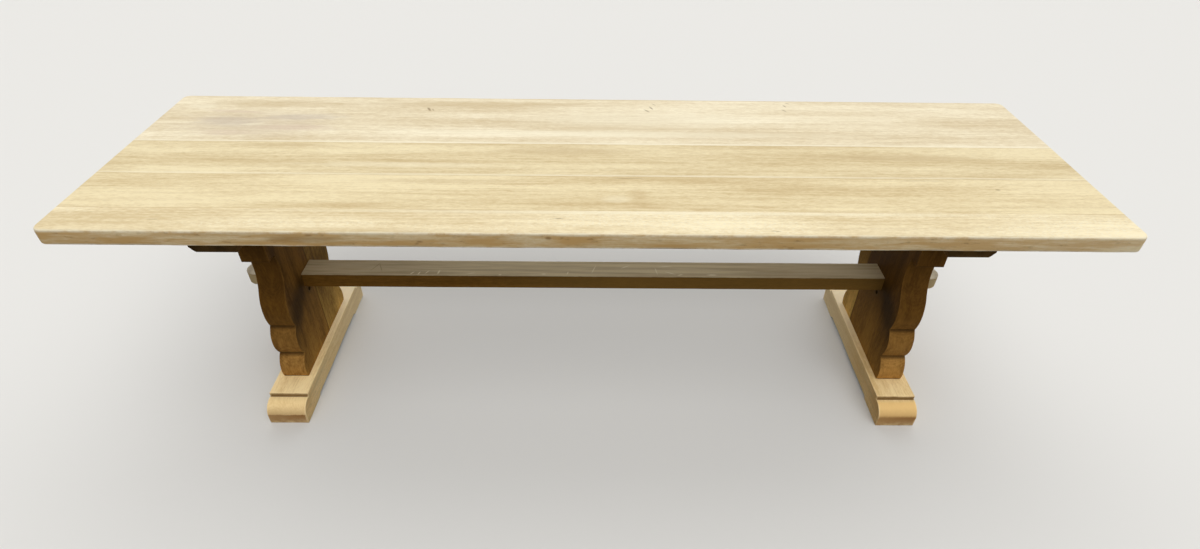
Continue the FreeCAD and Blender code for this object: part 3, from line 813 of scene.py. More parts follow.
# The bored hole: how far below the stretcher it lies at most, its depth and the width of its halo of painted shade
HOLE_ZONE, HOLE_DEPTH, HOLE_HALO = 0.06, 0.035, 0.016
# How far below the stretcher's tenon the arrises of its mortise and of the hole reach
MORTISE_ZONE = 0.04


def inner_joint(node):
    """Place across the table of the joint between the two boards of an upright."""
    low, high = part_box(node)
    return high.y if node.endswith("front") else low.y


def upright_weight(node):
    """How far each arris of an upright board is rounded: little at joints, mortise and bored hole."""
    joint = inner_joint(node)

    def weight(edge):
        middle = middle_of(edge)
        if near(middle.y, joint):
            return 0.22
        if near(middle.z, FOOT_TOP) or near(middle.z, BEARER_UNDERSIDE):
            return 0.0
        if abs(middle.y) < RAIL_HIGH.y and RAIL_LOW.z - MORTISE_ZONE < middle.z < RAIL_HIGH.z:
            return 0.2
        return 1.0

    return weight


def crease_levels(node):
    """Heights of the hollow corners across the scrolled edge of an upright board."""
    bm = merged_copy(node)
    levels = set()
    for edge in bm.edges:
        first, second = (vert.co for vert in edge.verts)
        crossing = near(first.y, second.y) and near(first.z, second.z)
        if crossing and abs(first.y) > STEP / 2 and not edge.is_convex and edge.calc_face_angle(0.0) > ARRIS_ANGLE:
            levels.add(round(first.z, 4))
    bm.free()
    return sorted(levels)


def shade_around_hole(oak, node, colour):
    """Paints shade into the bored hole below the stretcher and around it, and a painted shadow of the stretcher
    below it.
    """
    wires, place = oak.wires, oak.place
    face = min(abs(corner.x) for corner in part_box(node))
    rim = [
        point for point in points_of(node)
        if near(abs(point.x), face)
        and abs(point.y) < RAIL_HIGH.y
        and RAIL_LOW.z - HOLE_ZONE < point.z < RAIL_LOW.z
    ]
    low, high = box_of(rim)
    across = wires.minus(place["Y"], (low.y + high.y) / 2)
    up = wires.minus(place["Z"], (low.z + high.z) / 2)
    squares = wires.plus(wires.math("POWER", across, 2.0), wires.math("POWER", up, 2.0))
    reach = wires.math("SQRT", squares)
    radius = (high.z - low.z) / 2
    inside = wires.fade(wires.size_of(place["X"]), face + HOLE_DEPTH, face + HOLE_DEPTH + 0.002)
    # painted shade around and inside the bored hole
    oak.stain(shaded(colour, 0.22), wires.fade(reach, radius, radius + HOLE_HALO, 0.7), inside)
    oak.stain(shaded(colour, 0.05), wires.fade(reach, radius + 0.0004, radius + 0.0012, 0.95), inside)
    # painted shadow of the stretcher on the inner face below it
    upward = wires.ease(place["Z"], STRETCHER_SHADOW_LEVEL, RAIL_LOW.z)
    below = wires.fade(place["Z"], RAIL_HIGH.z, RAIL_HIGH.z + 0.01)
    beside = wires.fade(wires.size_of(place["Y"]), 0.035, 0.075, 0.3)
    oak.stain(shaded(colour, 0.25), upward, below, beside, inside)


def shade_upright(oak, side, front, colour):
    """Painted shade of the top toward the head, and painted shade, a painted lit strip and a painted shadow on the
    inner face.
    """
    wires, level, left = oak.wires, oak.place["Z"], side == "left"
    toward_middle = wires.times(oak.facing["X"], 1.0 if left else -1.0)
    inner = wires.ease(toward_middle, *FACING)
    # painted shade of the top: the board darkens toward its head
    top_shade = wires.ease(level, FOOT_TOP, TOP_SHADE_LEVEL, 0.0, TOP_SHADE_SHARE[side])
    if left and front:
        top_shade = wires.times(top_shade, wires.fade(toward_middle, *FACING, 1.0, 0.83))
    elif left:
        # painted light from behind lifts the painted shade on the left rear inner face
        shade_lifted = wires.times(inner, wires.ease(level, *SPARED_LEVELS, 0.0, 0.42))
        top_shade = wires.times(top_shade, wires.rest_of(shade_lifted))
    oak.tint(TOP_SHADE_TINT, top_shade)
    if not front:
        oak.tint(REAR_INNER_TINT, inner)
        return
    # painted light along the front of the inner face, and painted shade on the rest of it
    lit_strip = wires.times(wires.fade(oak.place["Y"], *PAINTED_LIGHT_STRIP, 0.7), wires.ease(level, *STRIP_LEVELS))
    shade = wires.minus(inner, lit_strip, clamp=True)
    if left:
        shade = wires.times(shade, wires.fade(level, *SHADE_LEVELS, 1.0, 0.1))
    oak.tint(FRONT_INNER_SHADE[side], shade)
    # painted shadow behind the belly of the scroll
    shadow_oval = wires.node("ShaderNodeMapping", {"Vector": oak.vector, **SHADOW_OVAL}, vector_type="TEXTURE").outputs[0]
    oak.stain(shaded(colour, 0.06), wires.fade(wires.length_of(shadow_oval), 0.3, 1.3, 0.68), inner)


def upright_material(node, finish):
    """Brown oak with upright grain, paler where arrises are rubbed, with painted shade from the top and in the
    hollows and painted light on the rear and right boards.
    """
    low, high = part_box(node)
    front = node.endswith("front")
    side = node.split("_")[1]
    seed = UPRIGHT_SEEDS[node]
    pith = ((low.x + high.x) / 2, (low.y + high.y) / 2, 0.0)
    # rear boards are painted lighter for light from behind, right boards for the stronger light on that side
    colour = shaded(finish.upright, (1.0 if front else 1.3) * (1.1 if side == "right" else 1.0))
    oak = Oak(f"brown_oak_{node}", "Z", colour, seed, pith, contrast=1.35, spacing=0.005, dark=0.54, light=1.38)
    wires, level = oak.wires, oak.place["Z"]
    scroll = oak.facing_mask("Y")
    oak.stain(shaded(colour, 1.6), wires.ease(oak.figure["Mottle"], 0.5, 0.66), scroll, 0.4)
    shade_upright(oak, side, front, finish.upright)
    if side == "left":
        # painted shade of the top on the left head
        oak.tint(HEAD_SHADE_TINT, scroll, wires.ease(level, *HEAD_LEVELS, 0.0, 0.8))
    # darker scrolled edges: partly end grain, partly painted shade under the top
    oak.stain(shaded(finish.upright, 0.34, 0.3), scroll, 0.32)
    # painted shade in the hollow corners of the scroll, under each lobe
    for crease in crease_levels(node):
        below = wires.ease(level, crease - 0.012, crease - 0.001)
        above = wires.fade(level, crease + 0.0015, crease + 0.005)
        crease_shade = wires.math("POWER", wires.times(below, above, scroll), 1.6)
        oak.stain(shaded(finish.upright, 0.12, 0.3), crease_shade, 0.85)
    if front:
        shade_around_hole(oak, node, finish.upright)
    joint = inner_joint(node)
    oak.joint(shaded(finish.upright, 0.12), 0.85, joint, joint, width=0.0045, least=0.7, seed=seed)
    return oak.finish(shaded(finish.upright, 1.2), 0.2, roughness=0.62, specular=0.04)


# Feet

# Brown of the toe of a foot, painted light on its rear half, and painted shade on its sides
TOE_BROWN = (0.33, 0.155, 0.048)
FOOT_REAR_LIGHT = (0.97, 0.85, 0.60)
FRONT_SIDE_SHADE = (0.90, 0.83, 0.73)
INNER_SIDE_SHADE = (0.93, 0.87, 0.78)
# By side: seed of the figure, strength and warmth of the stain on the nose, soft edge of the brown toe
FOOT_LOOKS = {"left": (21.0, 0.45, 0.25, 0.0015), "right": (29.0, 0.9, 0.4, 0.010)}
# Places across the table between which the painted light and shade of a foot come and go
LIT_REAR = (-0.10, 0.22)
STREAKED_FRONT = (-0.28, 0.12)
SHADED_FRONT = (-0.29, -0.19)
SHADED_INNER = (-0.15, 0.1)
FOOT_PITH_LEVEL = 0.02
NOSE_BLEND = 0.02
QUIRK_WIDTH = 0.004


def foot_material(side, finish):
    """Pale oak with streaks along the foot, painted light on its rear half, painted shade on its sides, a darker
    face on the step and a browner toe.
    """
    node = f"foot_{side}"
    low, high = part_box(node)
    seed, nose_strength, nose_warmth, toe_edge = FOOT_LOOKS[side]
    pith = ((low.x + high.x) / 2, 0.0, FOOT_PITH_LEVEL)
    oak = Oak(f"rubbed_oak_{node}", "Y", finish.foot, seed, pith, contrast=1.4, dark=0.79, light=1.05)
    wires, place = oak.wires, oak.place
    across, level = place["Y"], place["Z"]
    reach = wires.size_of(across)
    ends, sides = oak.facing_mask("Y"), oak.facing_mask("X", 0.6, 0.9)
    # painted light from behind on the rear half of the foot
    oak.stain(FOOT_REAR_LIGHT, wires.ease(across, *LIT_REAR, 0.0, 0.8), wires.fade(sides, 0.0, 1.0, 1.0, 0.3))
    streaks = wires.ease(oak.figure["Streaks"], 0.48, 0.64, 0.0, 0.55)
    streaks = wires.math("MAXIMUM", streaks, wires.ease(oak.figure["Speckle"], 0.48, 0.62, 0.0, 0.5))
    oak.stain(shaded(finish.foot, 0.56, 0.1), streaks, wires.fade(across, *STREAKED_FRONT, 1.0, 0.12), sides)
    # painted shade on the front of the sides, and on the inner side of the right foot
    oak.tint(FRONT_SIDE_SHADE, wires.fade(across, *SHADED_FRONT), sides)
    if side == "right":
        oak.tint(INNER_SIDE_SHADE, wires.fade(oak.facing["X"], -0.9, -0.5), wires.fade(across, *SHADED_INNER))
    nose = wires.ease(reach, STEP + 0.002, STEP + NOSE_BLEND)
    off_sides = wires.rest_of(oak.facing_mask("X", *FACING))
    oak.stain(shaded(finish.foot, 0.93, nose_warmth), nose, nose_strength, off_sides)
    wavy_level = wires.plus(level, wires.times(oak.swing("Mottle"), 0.008))
    on_nose = wires.times(ends, wires.ease(reach, STEP, STEP + NOSE_BLEND))
    oak.stain(TOE_BROWN, wires.fade(wavy_level, TOE, LEDGE, 0.35), on_nose)
    browned = wires.fade(wavy_level, TOE - 0.001, TOE + toe_edge, 0.9)
    oak.stain(TOE_BROWN, browned, wires.ease(place["X"], low.x, high.x, 0.7, 1.0), on_nose)
    beyond = wires.ease(reach, STEP - 0.0012, STEP - 0.0004)
    within = wires.fade(reach, STEP + QUIRK_WIDTH, STEP + QUIRK_WIDTH + 0.0015)
    above = wires.ease(level, LEDGE - 0.001, LEDGE)
    below = wires.fade(level, FOOT_TOP - 0.0012, FOOT_TOP - 0.0004)
    oak.stain(shaded(finish.upright, 0.42), beyond, within, above, below, wires.rest_of(sides), 0.9)
    return oak.finish(shaded(finish.foot, 1.06), 0.6, roughness=0.6, specular=0.15)


def foot_weight(edge):
    """How far each arris of a foot is rounded: little at the step."""
    middle = middle_of(edge)
    at_step = STEP - ON_FACE < abs(middle.y) < STEP + QUIRK_WIDTH + 0.002 and middle.z > LEDGE - ON_FACE
    return 0.3 if at_step else 1.0


# Bearers

BEARER_SEEDS = {"left": 41.0, "right": 47.0}
BEARER_PITH_LEVEL = 0.64
BEARER_END_GRAIN_AND_SHADE = (0.33, 0.34, 0.33)


def bearer_material(side, finish):
    """Brown oak along the bearer, its colour darkened by painted shade of the top, darker on its ends from end
    grain and painted shade.
    """
    node = f"bearer_{side}"
    low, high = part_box(node)
    pith = ((low.x + high.x) / 2, 0.0, BEARER_PITH_LEVEL)
    oak = Oak(f"brown_oak_{node}", "Y", finish.bearer, BEARER_SEEDS[side], pith)
    # darker end faces: partly end grain, partly painted shade
    oak.tint(BEARER_END_GRAIN_AND_SHADE, oak.facing_mask("Y"))
    return oak.finish(shaded(finish.bearer, 1.3), 0.3, roughness=0.65, specular=0.04)


def bearer_weight(edge):
    """How far each arris of a bearer is rounded: little under the top."""
    return 0.3 if near(middle_of(edge).z, TOP_UNDERSIDE) else 1.0


# Stretcher

# Pale of the scratches, and painted light on the tops of the tenons
PALE_SCRATCH_AND_LIT_TENON = (0.96, 0.88, 0.68)
PALER_SIDE = (0.26, 0.155, 0.04)
STRETCHER_SEED, STRETCHER_PITH = 61.0, (0.0, 0.0, 0.3)
# Places along the stretcher between which its sides turn paler and its upper side is less rubbed and in more
# painted shade near the uprights
PALER_HALF, LESS_RUBBED_AND_SHADED = (-0.45, 0.0), (0.25, 0.88)
# Wood beyond the key slot, and play between the key and the cheeks of its slot
TENON_END, SLOT_PLAY = 0.04, 0.002
# Scratches on the upper side of the stretcher: place, half size, turn in degrees
DARK_SCRATCHES = (
    ((-0.690, 0.004), (0.030, 0.0022), 62),
    ((-0.672, -0.002), (0.030, 0.0022), 112),
)
PALE_SCRATCHES = (
    ((-0.569, -0.028), (0.012, 0.003), 50),
    ((-0.547, -0.028), (0.012, 0.003), 70),
    ((-0.523, -0.023), (0.014, 0.003), 58),
    ((-0.487, -0.022), (0.014, 0.004), 80),
    ((-0.385, -0.027), (0.020, 0.003), 10),
    ((-0.294, -0.034), (0.007, 0.004), 0),
    ((-0.158, -0.029), (0.010, 0.004), 0),
    ((-0.084, -0.024), (0.012, 0.003), 75),
    ((-0.002, -0.003), (0.028, 0.0025), 72),
    ((0.097, 0.011), (0.020, 0.003), 30),
    ((0.195, -0.009), (0.024, 0.0025), 100),
    ((0.225, 0.015), (0.030, 0.003), 6),
    ((0.238, -0.019), (0.022, 0.003), -24),
    ((0.269, -0.029), (0.012, 0.003), 20),
    ((0.369, -0.028), (0.022, 0.005), 0),
)


def stretcher_material(finish):
    """Brown oak, paler on the upper side from rubbing and painted light, with painted light on the tenons outside
    the uprights.
    """
    oak = Oak(
        "rubbed_oak_stretcher", "X", finish.stretcher, STRETCHER_SEED, STRETCHER_PITH,
        contrast=1.3, dark=0.62, light=1.34,
    )
    wires, along = oak.wires, oak.place["X"]
    from_middle = wires.size_of(along)
    upper = wires.ease(oak.facing["Z"], 0.4, 0.9)
    oak.stain(PALER_SIDE, wires.ease(along, *PALER_HALF, 0.0, 0.5), oak.facing_mask("Y", *FACING))
    scuffs = wires.ease(wires.cloud(oak.vector, (3.0, 80.0, 80.0), 6.0, 4.0, 0.65), 0.32, 0.62, 0.64, 1.0)
    # paler upper side: partly rubbed, partly painted light; less of it near the uprights, partly painted shade
    oak.stain(finish.stretcher_top, upper, scuffs, wires.fade(from_middle, *LESS_RUBBED_AND_SHADED, 1.0, 0.7))
    # painted light on the tenons outside the uprights, beyond the shade of the top
    outside = wires.ease(from_middle, OUTER_FACE - 0.01, OUTER_FACE + 0.01)
    oak.stain(shaded(finish.foot, 0.62), outside, 0.92)
    oak.stain(PALE_SCRATCH_AND_LIT_TENON, outside, upper)
    for scratch in DARK_SCRATCHES:
        oak.mark(*scratch, shaded(finish.stretcher, 0.8), 0.38, RAIL_HIGH.z)
    for scratch in PALE_SCRATCHES:
        oak.mark(*scratch, PALE_SCRATCH_AND_LIT_TENON, 0.75, RAIL_HIGH.z)
    return oak.finish(finish.stretcher, 0.4, specular=0.04)


def make_stretcher(shape, finish):
    bm = merged_copy("stretcher")
    cut_across(bm, 0, steps_between(RAIL_LOW.x, RAIL_HIGH.x, shape.mesh_step * 2))
    band = shape.wear_band * 1.5
    for axis in (1, 2):
        cut_across(bm, axis, (RAIL_LOW[axis] + band, RAIL_HIGH[axis] - band))
    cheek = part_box("key_left")[1].y + SLOT_PLAY

    def weigh(edge):
        middle = middle_of(edge)
        if abs(middle.x) < OUTER_FACE:
            return 0.0
        in_slot = abs(middle.y) < cheek and abs(middle.x) < RAIL_HIGH.x - TENON_END
        return 0.3 if in_slot else 1.0

    def is_arris(face):
        return bevelled(face) or (abs(face.normal.x) < 0.1 and 0.05 < abs(face.normal.z) < 0.995)

    bm = rounded(bm, "stretcher", shape.trestle_arris, weigh)
    rub_arrises(bm, shape.arris_wear * 0.4, is_arris)
    finish_piece(bm, "oak_stretcher", stretcher_material(finish), "table", "trestle_oak", "stretcher")


# Keys

KEY_SEEDS = {"left": 71.0, "right": 77.0}
KEY_PITH_OFFSET = 0.03


def make_key(side, shape, finish):
    node = f"key_{side}"
    low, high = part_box(node)
    bm = merged_copy(node)
    cut_across(bm, 2, steps_between(low.z, high.z, shape.mesh_step / 2))
    bm = rounded(bm, node, shape.key_arris, lambda edge: 1.0)
    rub_arrises(bm, shape.arris_wear * 0.5, bevelled)
    pith = ((low.x + high.x) / 2, KEY_PITH_OFFSET, 0.0)
    oak = Oak(f"cut_oak_{node}", "Z", finish.key, KEY_SEEDS[side], pith, contrast=1.1, spacing=0.004)
    material = oak.finish(shaded(finish.key, 1.3), 0.6, roughness=0.55)
    finish_piece(bm, f"oak_{node}", material, node, "key_oak", node)


# Screws

# Sizes of a screw in metres, and shares of its radius, shank and length
HEAD_HEIGHT = 0.0035
SLOT_WIDTH, SLOT_DEPTH = 0.0014, 0.0013
SHANK_SHARE, ROOT_SHARE = 0.5, 0.8
PLAIN_SHARE, THREAD_START, THREAD_SHARE = 0.45, 0.5, 0.45
THREAD_TURNS, TAPERED_TURNS = 20, 3
SCREW_SIDES = 28


def screw_islands(node):
    """The separate screws of a packed row, as lists of points."""
    bm = bmesh.new()
    bm.from_mesh(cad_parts[node].data)
    bmesh.ops.remove_doubles(bm, verts=bm.verts[:], dist=WELD)
    islands, seen = [], set()
    for start in bm.verts:
        if start in seen:
            continue
        seen.add(start)
        island = [start]
        for vert in island:
            for edge in vert.link_edges:
                other = edge.other_vert(vert)
                if other not in seen:
                    seen.add(other)
                    island.append(other)
        islands.append([vert.co.copy() for vert in island])
    bm.free()
    return islands


def in_fixed_order(mesh):
    """The same mesh with its points and faces sorted, because a cut leaves them in a chance order."""
    order = sorted(range(len(mesh.vertices)), key=lambda index: mesh.vertices[index].co[:])
    rank = {index: place for place, index in enumerate(order)}
    faces = []
    for polygon in mesh.polygons:
        corners = [rank[index] for index in polygon.vertices]
        first = corners.index(min(corners))
        faces.append(corners[first:] + corners[:first])
    fixed = bpy.data.meshes.new(mesh.name)
    fixed.from_pydata([mesh.vertices[index].co[:] for index in order], [], sorted(faces))
    bpy.data.meshes.remove(mesh)
    return fixed


def screw_places():
    """Middle of each screw at the lowest point of its head."""
    boxes = [box_of(points) for node in SCREW_NODES for points in screw_islands(node)]
    return sorted(((low.x + high.x) / 2, (low.y + high.y) / 2, low.z) for low, high in boxes)


def screw_profile(radius, length):
    """Outline of a pan-head screw from the middle of its head to its tip: distance from the axis, height."""
    shank = radius * SHANK_SHARE
    profile = [
        (0.0, 0.0), (radius * 0.45, 0.0001), (radius * 0.72, 0.0005), (radius * 0.9, 0.0012),
        (radius, 0.0022), (radius, HEAD_HEIGHT - 0.0002), (radius - 0.0002, HEAD_HEIGHT), (shank, HEAD_HEIGHT),
        (shank, length * PLAIN_SHARE), (shank * ROOT_SHARE, length * THREAD_START),
    ]
    level, width = length * THREAD_START, length * THREAD_SHARE / THREAD_TURNS
    for turn in range(THREAD_TURNS):
        left = THREAD_TURNS - turn
        outer = shank if left > TAPERED_TURNS else shank * left / (TAPERED_TURNS + 1)
        profile += [(outer, level + width * 0.4), (outer * 0.78, level + width)]
        level += width
    return profile + [(0.0, length)]


def make_screw_pattern():
    """One slotted screw, head down, its lowest point at the origin."""
    low, high = box_of(screw_islands(SCREW_NODES[0])[0])
    radius = (high.x - low.x) / 2
    bm = bmesh.new()
    verts = [bm.verts.new((across, 0.0, up)) for across, up in screw_profile(radius, high.z - low.z)]
    edges = [bm.edges.new(pair) for pair in zip(verts, verts[1:])]
    bmesh.ops.spin(
        bm, geom=verts + edges, cent=(0, 0, 0), axis=(0, 0, 1), angle=2 * math.pi, steps=SCREW_SIDES, use_merge=True
    )
    bmesh.ops.remove_doubles(bm, verts=bm.verts[:], dist=WELD)
    bmesh.ops.recalc_face_normals(bm, faces=bm.faces[:])
    mesh = mesh_of(bm, "screw_blank")
    blank = bpy.data.objects.new("screw_blank", mesh)
    cutter_bm = bmesh.new()
    cutter_size = Matrix.Diagonal((radius * 3, SLOT_WIDTH, 2 * SLOT_DEPTH, 1.0))
    bmesh.ops.create_cube(cutter_bm, size=1.0, matrix=cutter_size)
    cutter_mesh = mesh_of(cutter_bm, "slot_cutter")
    cutter = bpy.data.objects.new("slot_cutter", cutter_mesh)
    bpy.context.scene.collection.objects.link(cutter)
    slot = blank.modifiers.new("slot", "BOOLEAN")
    slot.object = cutter
    slot.operation = "DIFFERENCE"
    slot.solver = "EXACT"
    made = in_fixed_order(settled_mesh(blank))
    bpy.data.objects.remove(cutter)
    for data in (mesh, cutter_mesh):
        bpy.data.meshes.remove(data)
    for polygon in made.polygons:
        polygon.use_smooth = True
    made.set_sharp_from_angle(angle=SHARP_ANGLE)
    pattern = bpy.data.objects.new("screw_pattern", made)
    bpy.context.scene.collection.objects.link(pattern)
    return pattern


def steel_material(colour):
    """Dulled steel with fine turned lines and darker spots."""
    material, wires, coordinates = start_material("dulled_steel")
    spots = wires.cloud(coordinates["Object"], (420.0, 420.0, 420.0), 2.0, 4.0, 0.6)
    lines = wires.cloud(coordinates["Object"], (900.0, 900.0, 6000.0), 5.0, 2.0)
    tint = wires.mix(wires.ease(spots, 0.35, 0.7), shaded(colour, 1.1), shaded(colour, 0.55, 0.15))
    end_material(wires, tint, wires.ease(spots, 0.3, 0.75, 0.32, 0.62), lines, 0.0001, 0.3, {"Metallic": 1.0})
    return material


def screw_tree(steel):
    """Puts a screw, turned at random, on every point."""
    tree = bpy.data.node_groups.new("Screw row", "GeometryNodeTree")
    for label, kind in (("Points", "Geometry"), ("Screw", "Object"), ("Turn Seed", "Int")):
        tree.interface.new_socket(label, in_out="INPUT", socket_type=f"NodeSocket{kind}")
    tree.interface.new_socket("Screws", in_out="OUTPUT", socket_type="NodeSocketGeometry")
    wires = Wiring(tree)
    given = wires.node("NodeGroupInput").outputs
    pattern = wires.node("GeometryNodeObjectInfo", {"Object": given["Screw"]}).outputs["Geometry"]
    turns = {"Min": (0.0, 0.0, 0.0), "Max": (0.0, 0.0, math.pi), "Seed": given["Turn Seed"]}
    turn = wires.node("FunctionNodeRandomValue", turns, data_type="FLOAT_VECTOR").outputs["Value"]
    row = {"Points": given["Points"], "Instance": pattern, "Rotation": turn}
    placed = wires.node("GeometryNodeInstanceOnPoints", row).outputs[0]
    real = wires.node("GeometryNodeRealizeInstances", {"Geometry": placed}).outputs[0]
    coated = wires.node("GeometryNodeSetMaterial", {"Geometry": real, "Material": steel}).outputs[0]
    wires.node("NodeGroupOutput", {0: coated})
    return tree


def make_screws(shape, finish):
    pattern = make_screw_pattern()
    places = screw_places()
    points = bpy.data.meshes.new("screw_places")
    points.from_pydata(places, [], [])
    row = bpy.data.objects.new("screw_row", points)
    modifier = row.modifiers.new("screws", "NODES")
    modifier.node_group = screw_tree(steel_material(finish.steel))
    sockets = {item.name: item.identifier for item in modifier.node_group.interface.items_tree}
    modifier[sockets["Screw"]] = pattern
    modifier[sockets["Turn Seed"]] = shape.screw_turn_seed
    made = settled_mesh(row)
    bpy.data.meshes.remove(points)
    bpy.data.objects.remove(pattern)
    if len(made.polygons) < len(places):
        raise RuntimeError("the screws were not made")
    show_piece("slotted_screws", made, "table", "screw_steel", *SCREW_NODES)


# Stage

# Camera: place in metres, angles in radians, focal length and middle of the picture in its pixels
CAMERA_PLACE = Vector((-0.0032, -1.7417, 1.6454))
CAMERA_PITCH, CAMERA_YAW, CAMERA_ROLL = 0.6955, 0.0133, -0.0149
CAMERA_FOCUS, CAMERA_MIDDLE = 681.34, 312.0
PICTURE_WIDTH, PICTURE_HEIGHT = 1200, 549
SENSOR_WIDTH = 36.0
SIGHT = 200.0
# Broad lights: direction toward the light, half width and half width of the even middle in degrees
FRONT_LIGHT = (Vector((0.16, -0.55, 0.80)).normalized(), 42, 6)
BACK_LIGHT = (Vector((0.10, 0.85, 0.50)).normalized(), 80, 10)
LIGHT_COLOUR = (1.0, 0.985, 0.96)
# Brightness of the ground behind the floor, and half the width of the floor in metres
GROUND_BRIGHTNESS = 1.18
FLOOR_REACH = 30.0


def seen_directly(wires):
    """One for what the camera, a gloss or a clear body shows, zero for light that is thrown about."""
    path = wires.node("ShaderNodeLightPath").outputs
    seen = wires.math("MAXIMUM", path["Is Camera Ray"], path["Is Glossy Ray"])
    return wires.math("MAXIMUM", seen, path["Is Transmission Ray"])


def add_floor(look):
    """A plain floor that the camera sees through from below."""
    mesh = bpy.data.meshes.new("studio_floor")
    corners = [(x * FLOOR_REACH, y * FLOOR_REACH, 0) for x, y in ((-1, -1), (1, -1), (1, 1), (-1, 1))]
    mesh.from_pydata(corners, [], [(0, 1, 2, 3)])
    material, wires, _ = start_material("studio_floor")
    tint = wires.mix(seen_directly(wires), look.floor_bounce, look.floor)
    surface = wires.node("ShaderNodeBsdfDiffuse", {"Color": tint}).outputs[0]
    clear = wires.node("ShaderNodeBsdfTransparent").outputs[0]
    below = wires.node("ShaderNodeNewGeometry").outputs["Backfacing"]
    camera_ray = wires.node("ShaderNodeLightPath").outputs["Is Camera Ray"]
    one_sided = wires.node("ShaderNodeMixShader", {0: wires.times(below, camera_ray), 1: surface, 2: clear})
    wires.node("ShaderNodeOutputMaterial", {0: one_sided.outputs[0]})
    mesh.materials.append(material)
    floor = bpy.data.objects.new("studio_floor", mesh)
    bpy.context.scene.collection.objects.link(floor)


def add_light(look):
    """A light tent with two broad lights, which the camera sees as a plain pale ground."""
    world = bpy.data.worlds.new("light_tent")
    bpy.context.scene.world = world
    world.use_nodes = True
    world.node_tree.nodes.clear()
    wires = Wiring(world.node_tree)
    direction = wires.node("ShaderNodeTexCoord").outputs["Generated"]
    tent = {0: wires.parts(direction)["Z"], 1: 0.0, 2: 1.0, 3: look.horizon, 4: look.zenith}
    strength = wires.node("ShaderNodeMapRange", tent).outputs[0]
    for (toward, rim, middle), brightness in ((FRONT_LIGHT, look.front_glow), (BACK_LIGHT, look.back_glow)):
        sides = {0: direction, 1: toward}
        facing = wires.node("ShaderNodeVectorMath", sides, operation="DOT_PRODUCT").outputs["Value"]
        glow = wires.ease(facing, math.cos(math.radians(rim)), math.cos(math.radians(middle)))
        strength = wires.plus(strength, wires.times(glow, brightness))
    lit = wires.node("ShaderNodeBackground", {"Color": LIGHT_COLOUR, "Strength": strength}).outputs[0]
    shown = wires.node("ShaderNodeBackground", {"Color": look.floor, "Strength": GROUND_BRIGHTNESS}).outputs[0]
    mixed = wires.node("ShaderNodeMixShader", {0: seen_directly(wires), 1: lit, 2: shown})
    wires.node("ShaderNodeOutputWorld", {0: mixed.outputs[0]})


def add_camera():
    camera = bpy.data.cameras.new("camera")
    camera.sensor_fit = "HORIZONTAL"
    camera.sensor_width = SENSOR_WIDTH
    camera.lens = CAMERA_FOCUS / PICTURE_WIDTH * SENSOR_WIDTH
    camera.shift_y = (CAMERA_MIDDLE - PICTURE_HEIGHT / 2) / PICTURE_WIDTH
    camera.clip_end = SIGHT
    ahead = Vector((math.sin(CAMERA_YAW), math.cos(CAMERA_YAW), 0.0))
    aside = Vector((math.cos(CAMERA_YAW), -math.sin(CAMERA_YAW), 0.0))
    down = Vector((0.0, 0.0, -1.0))
    look = ahead * math.cos(CAMERA_PITCH) + down * math.sin(CAMERA_PITCH)
    upright = ahead * math.sin(CAMERA_PITCH) - down * math.cos(CAMERA_PITCH)
    right = aside * math.cos(CAMERA_ROLL) - upright * math.sin(CAMERA_ROLL)
    up = aside * math.sin(CAMERA_ROLL) + upright * math.cos(CAMERA_ROLL)
    turned = Matrix((right, up, -look)).transposed().to_4x4()
    holder = bpy.data.objects.new("camera", camera)
    holder.matrix_world = Matrix.Translation(CAMERA_PLACE) @ turned
    bpy.context.scene.collection.objects.link(holder)
    bpy.context.scene.camera = holder


# Operators


class TableOperator:
    bl_options = {"REGISTER", "UNDO"}

    @property
    def shape(self):
        return bpy.context.scene.trestle_table_shape

    @property
    def finish(self):
        return bpy.context.scene.trestle_table_finish


class TRESTLETABLE_OT_top_boards(TableOperator, bpy.types.Operator):
    """Make the four boards of the top"""

    bl_idname = "trestle_table.top_boards"
    bl_label = "Top boards"

    def execute(self, context):
        for node in TOP_BOARDS:
            make_top_board(node, self.shape, self.finish)
        return {"FINISHED"}


class TRESTLETABLE_OT_tongues(TableOperator, bpy.types.Operator):
    """Give the loose tongues in the joints their planed wood"""

    bl_idname = "trestle_table.tongues"
    bl_label = "Loose tongues"

    def execute(self, context):
        for grain, nodes in TONGUES.items():
            oak = Oak(f"planed_wood_{grain.lower()}", grain, self.finish.tongue, 53.0, contrast=0.8)
            material = oak.finish(shaded(self.finish.tongue, 1.1), 0.4)
            for node in nodes:
                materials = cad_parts[node].data.materials
                materials.clear()
                materials.append(material)
        return {"FINISHED"}


class TRESTLETABLE_OT_bearers(TableOperator, bpy.types.Operator):
    """Make the bearers under the top"""

    bl_idname = "trestle_table.bearers"
    bl_label = "Bearers"

    def execute(self, context):
        for side in SIDES:
            make_trestle_piece(f"bearer_{side}", bearer_material(side, self.finish), self.shape, 1, bearer_weight)
        return {"FINISHED"}


class TRESTLETABLE_OT_screws(TableOperator, bpy.types.Operator):
    """Make the slotted screws in the bearers"""

    bl_idname = "trestle_table.screws"
    bl_label = "Bearer screws"

    def execute(self, context):
        make_screws(self.shape, self.finish)
        return {"FINISHED"}


class TRESTLETABLE_OT_uprights(TableOperator, bpy.types.Operator):
    """Make the scrolled boards of the uprights"""

    bl_idname = "trestle_table.uprights"
    bl_label = "Uprights"

    def execute(self, context):
        for node in UPRIGHT_SEEDS:
            make_trestle_piece(node, upright_material(node, self.finish), self.shape, 2, upright_weight(node))
        return {"FINISHED"}


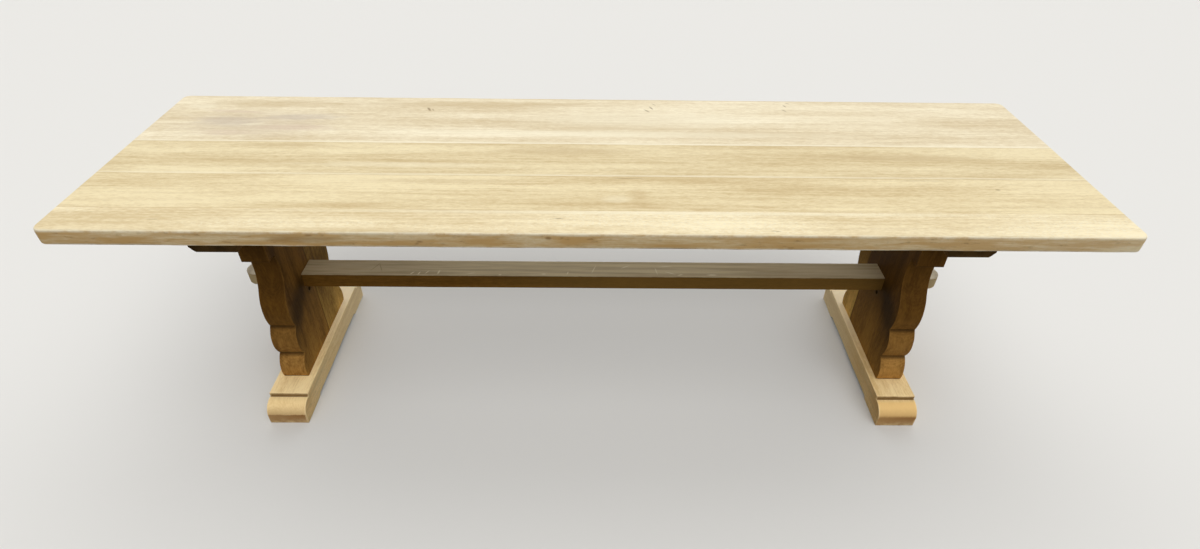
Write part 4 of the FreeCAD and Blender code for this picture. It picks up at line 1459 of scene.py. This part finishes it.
class TRESTLETABLE_OT_feet(TableOperator, bpy.types.Operator):
    """Make the sledge feet"""

    bl_idname = "trestle_table.feet"
    bl_label = "Feet"

    def execute(self, context):
        for side in SIDES:
            make_trestle_piece(f"foot_{side}", foot_material(side, self.finish), self.shape, 1, foot_weight)
        return {"FINISHED"}


class TRESTLETABLE_OT_stretcher(TableOperator, bpy.types.Operator):
    """Make the stretcher with its through tenons"""

    bl_idname = "trestle_table.stretcher"
    bl_label = "Stretcher"

    def execute(self, context):
        make_stretcher(self.shape, self.finish)
        return {"FINISHED"}


class TRESTLETABLE_OT_keys(TableOperator, bpy.types.Operator):
    """Make the wedges that lock the tenons"""

    bl_idname = "trestle_table.keys"
    bl_label = "Keys"

    def execute(self, context):
        for side in SIDES:
            make_key(side, self.shape, self.finish)
        return {"FINISHED"}


class TRESTLETABLE_OT_stage(bpy.types.Operator):
    """Set the floor, the light and the camera"""

    bl_idname = "trestle_table.stage"
    bl_label = "Stage"
    bl_options = {"REGISTER", "UNDO"}

    def execute(self, context):
        look = context.scene.trestle_table_stage
        add_floor(look)
        add_light(look)
        add_camera()
        context.scene.view_settings.view_transform = "Standard"
        return {"FINISHED"}


# Panel and registration


class TRESTLETABLE_PT_panel(bpy.types.Panel):
    """Steps and settings of the trestle table"""

    bl_idname = "TRESTLETABLE_PT_panel"
    bl_label = "Trestle table"
    bl_space_type = "VIEW_3D"
    bl_region_type = "UI"
    bl_category = "Trestle table"

    def draw(self, context):
        for step in STEPS:
            self.layout.operator(step.bl_idname)
        for settings in SETTINGS:
            group = getattr(context.scene, settings)
            box = self.layout.box()
            for name in group.bl_rna.properties.keys():
                if name not in ("rna_type", "name"):
                    box.prop(group, name)


SETTINGS = {
    "trestle_table_shape": TableShape,
    "trestle_table_finish": TableFinish,
    "trestle_table_stage": StageLook,
}
STEPS = (
    TRESTLETABLE_OT_top_boards,
    TRESTLETABLE_OT_tongues,
    TRESTLETABLE_OT_bearers,
    TRESTLETABLE_OT_screws,
    TRESTLETABLE_OT_uprights,
    TRESTLETABLE_OT_feet,
    TRESTLETABLE_OT_stretcher,
    TRESTLETABLE_OT_keys,
    TRESTLETABLE_OT_stage,
)
CLASSES = (*SETTINGS.values(), *STEPS, TRESTLETABLE_PT_panel)


def register():
    for item in CLASSES:
        bpy.utils.register_class(item)
    for name, group in SETTINGS.items():
        setattr(bpy.types.Scene, name, PointerProperty(type=group))


def unregister():
    for name in SETTINGS:
        delattr(bpy.types.Scene, name)
    for item in reversed(CLASSES):
        bpy.utils.unregister_class(item)


def main():
    register()
    bpy.ops.trestle_table.top_boards()
    bpy.ops.trestle_table.tongues()
    bpy.ops.trestle_table.bearers()
    bpy.ops.trestle_table.screws()
    bpy.ops.trestle_table.uprights()
    bpy.ops.trestle_table.feet()
    bpy.ops.trestle_table.stretcher()
    bpy.ops.trestle_table.keys()
    bpy.ops.trestle_table.stage()


if __name__ == "__main__":
    main()
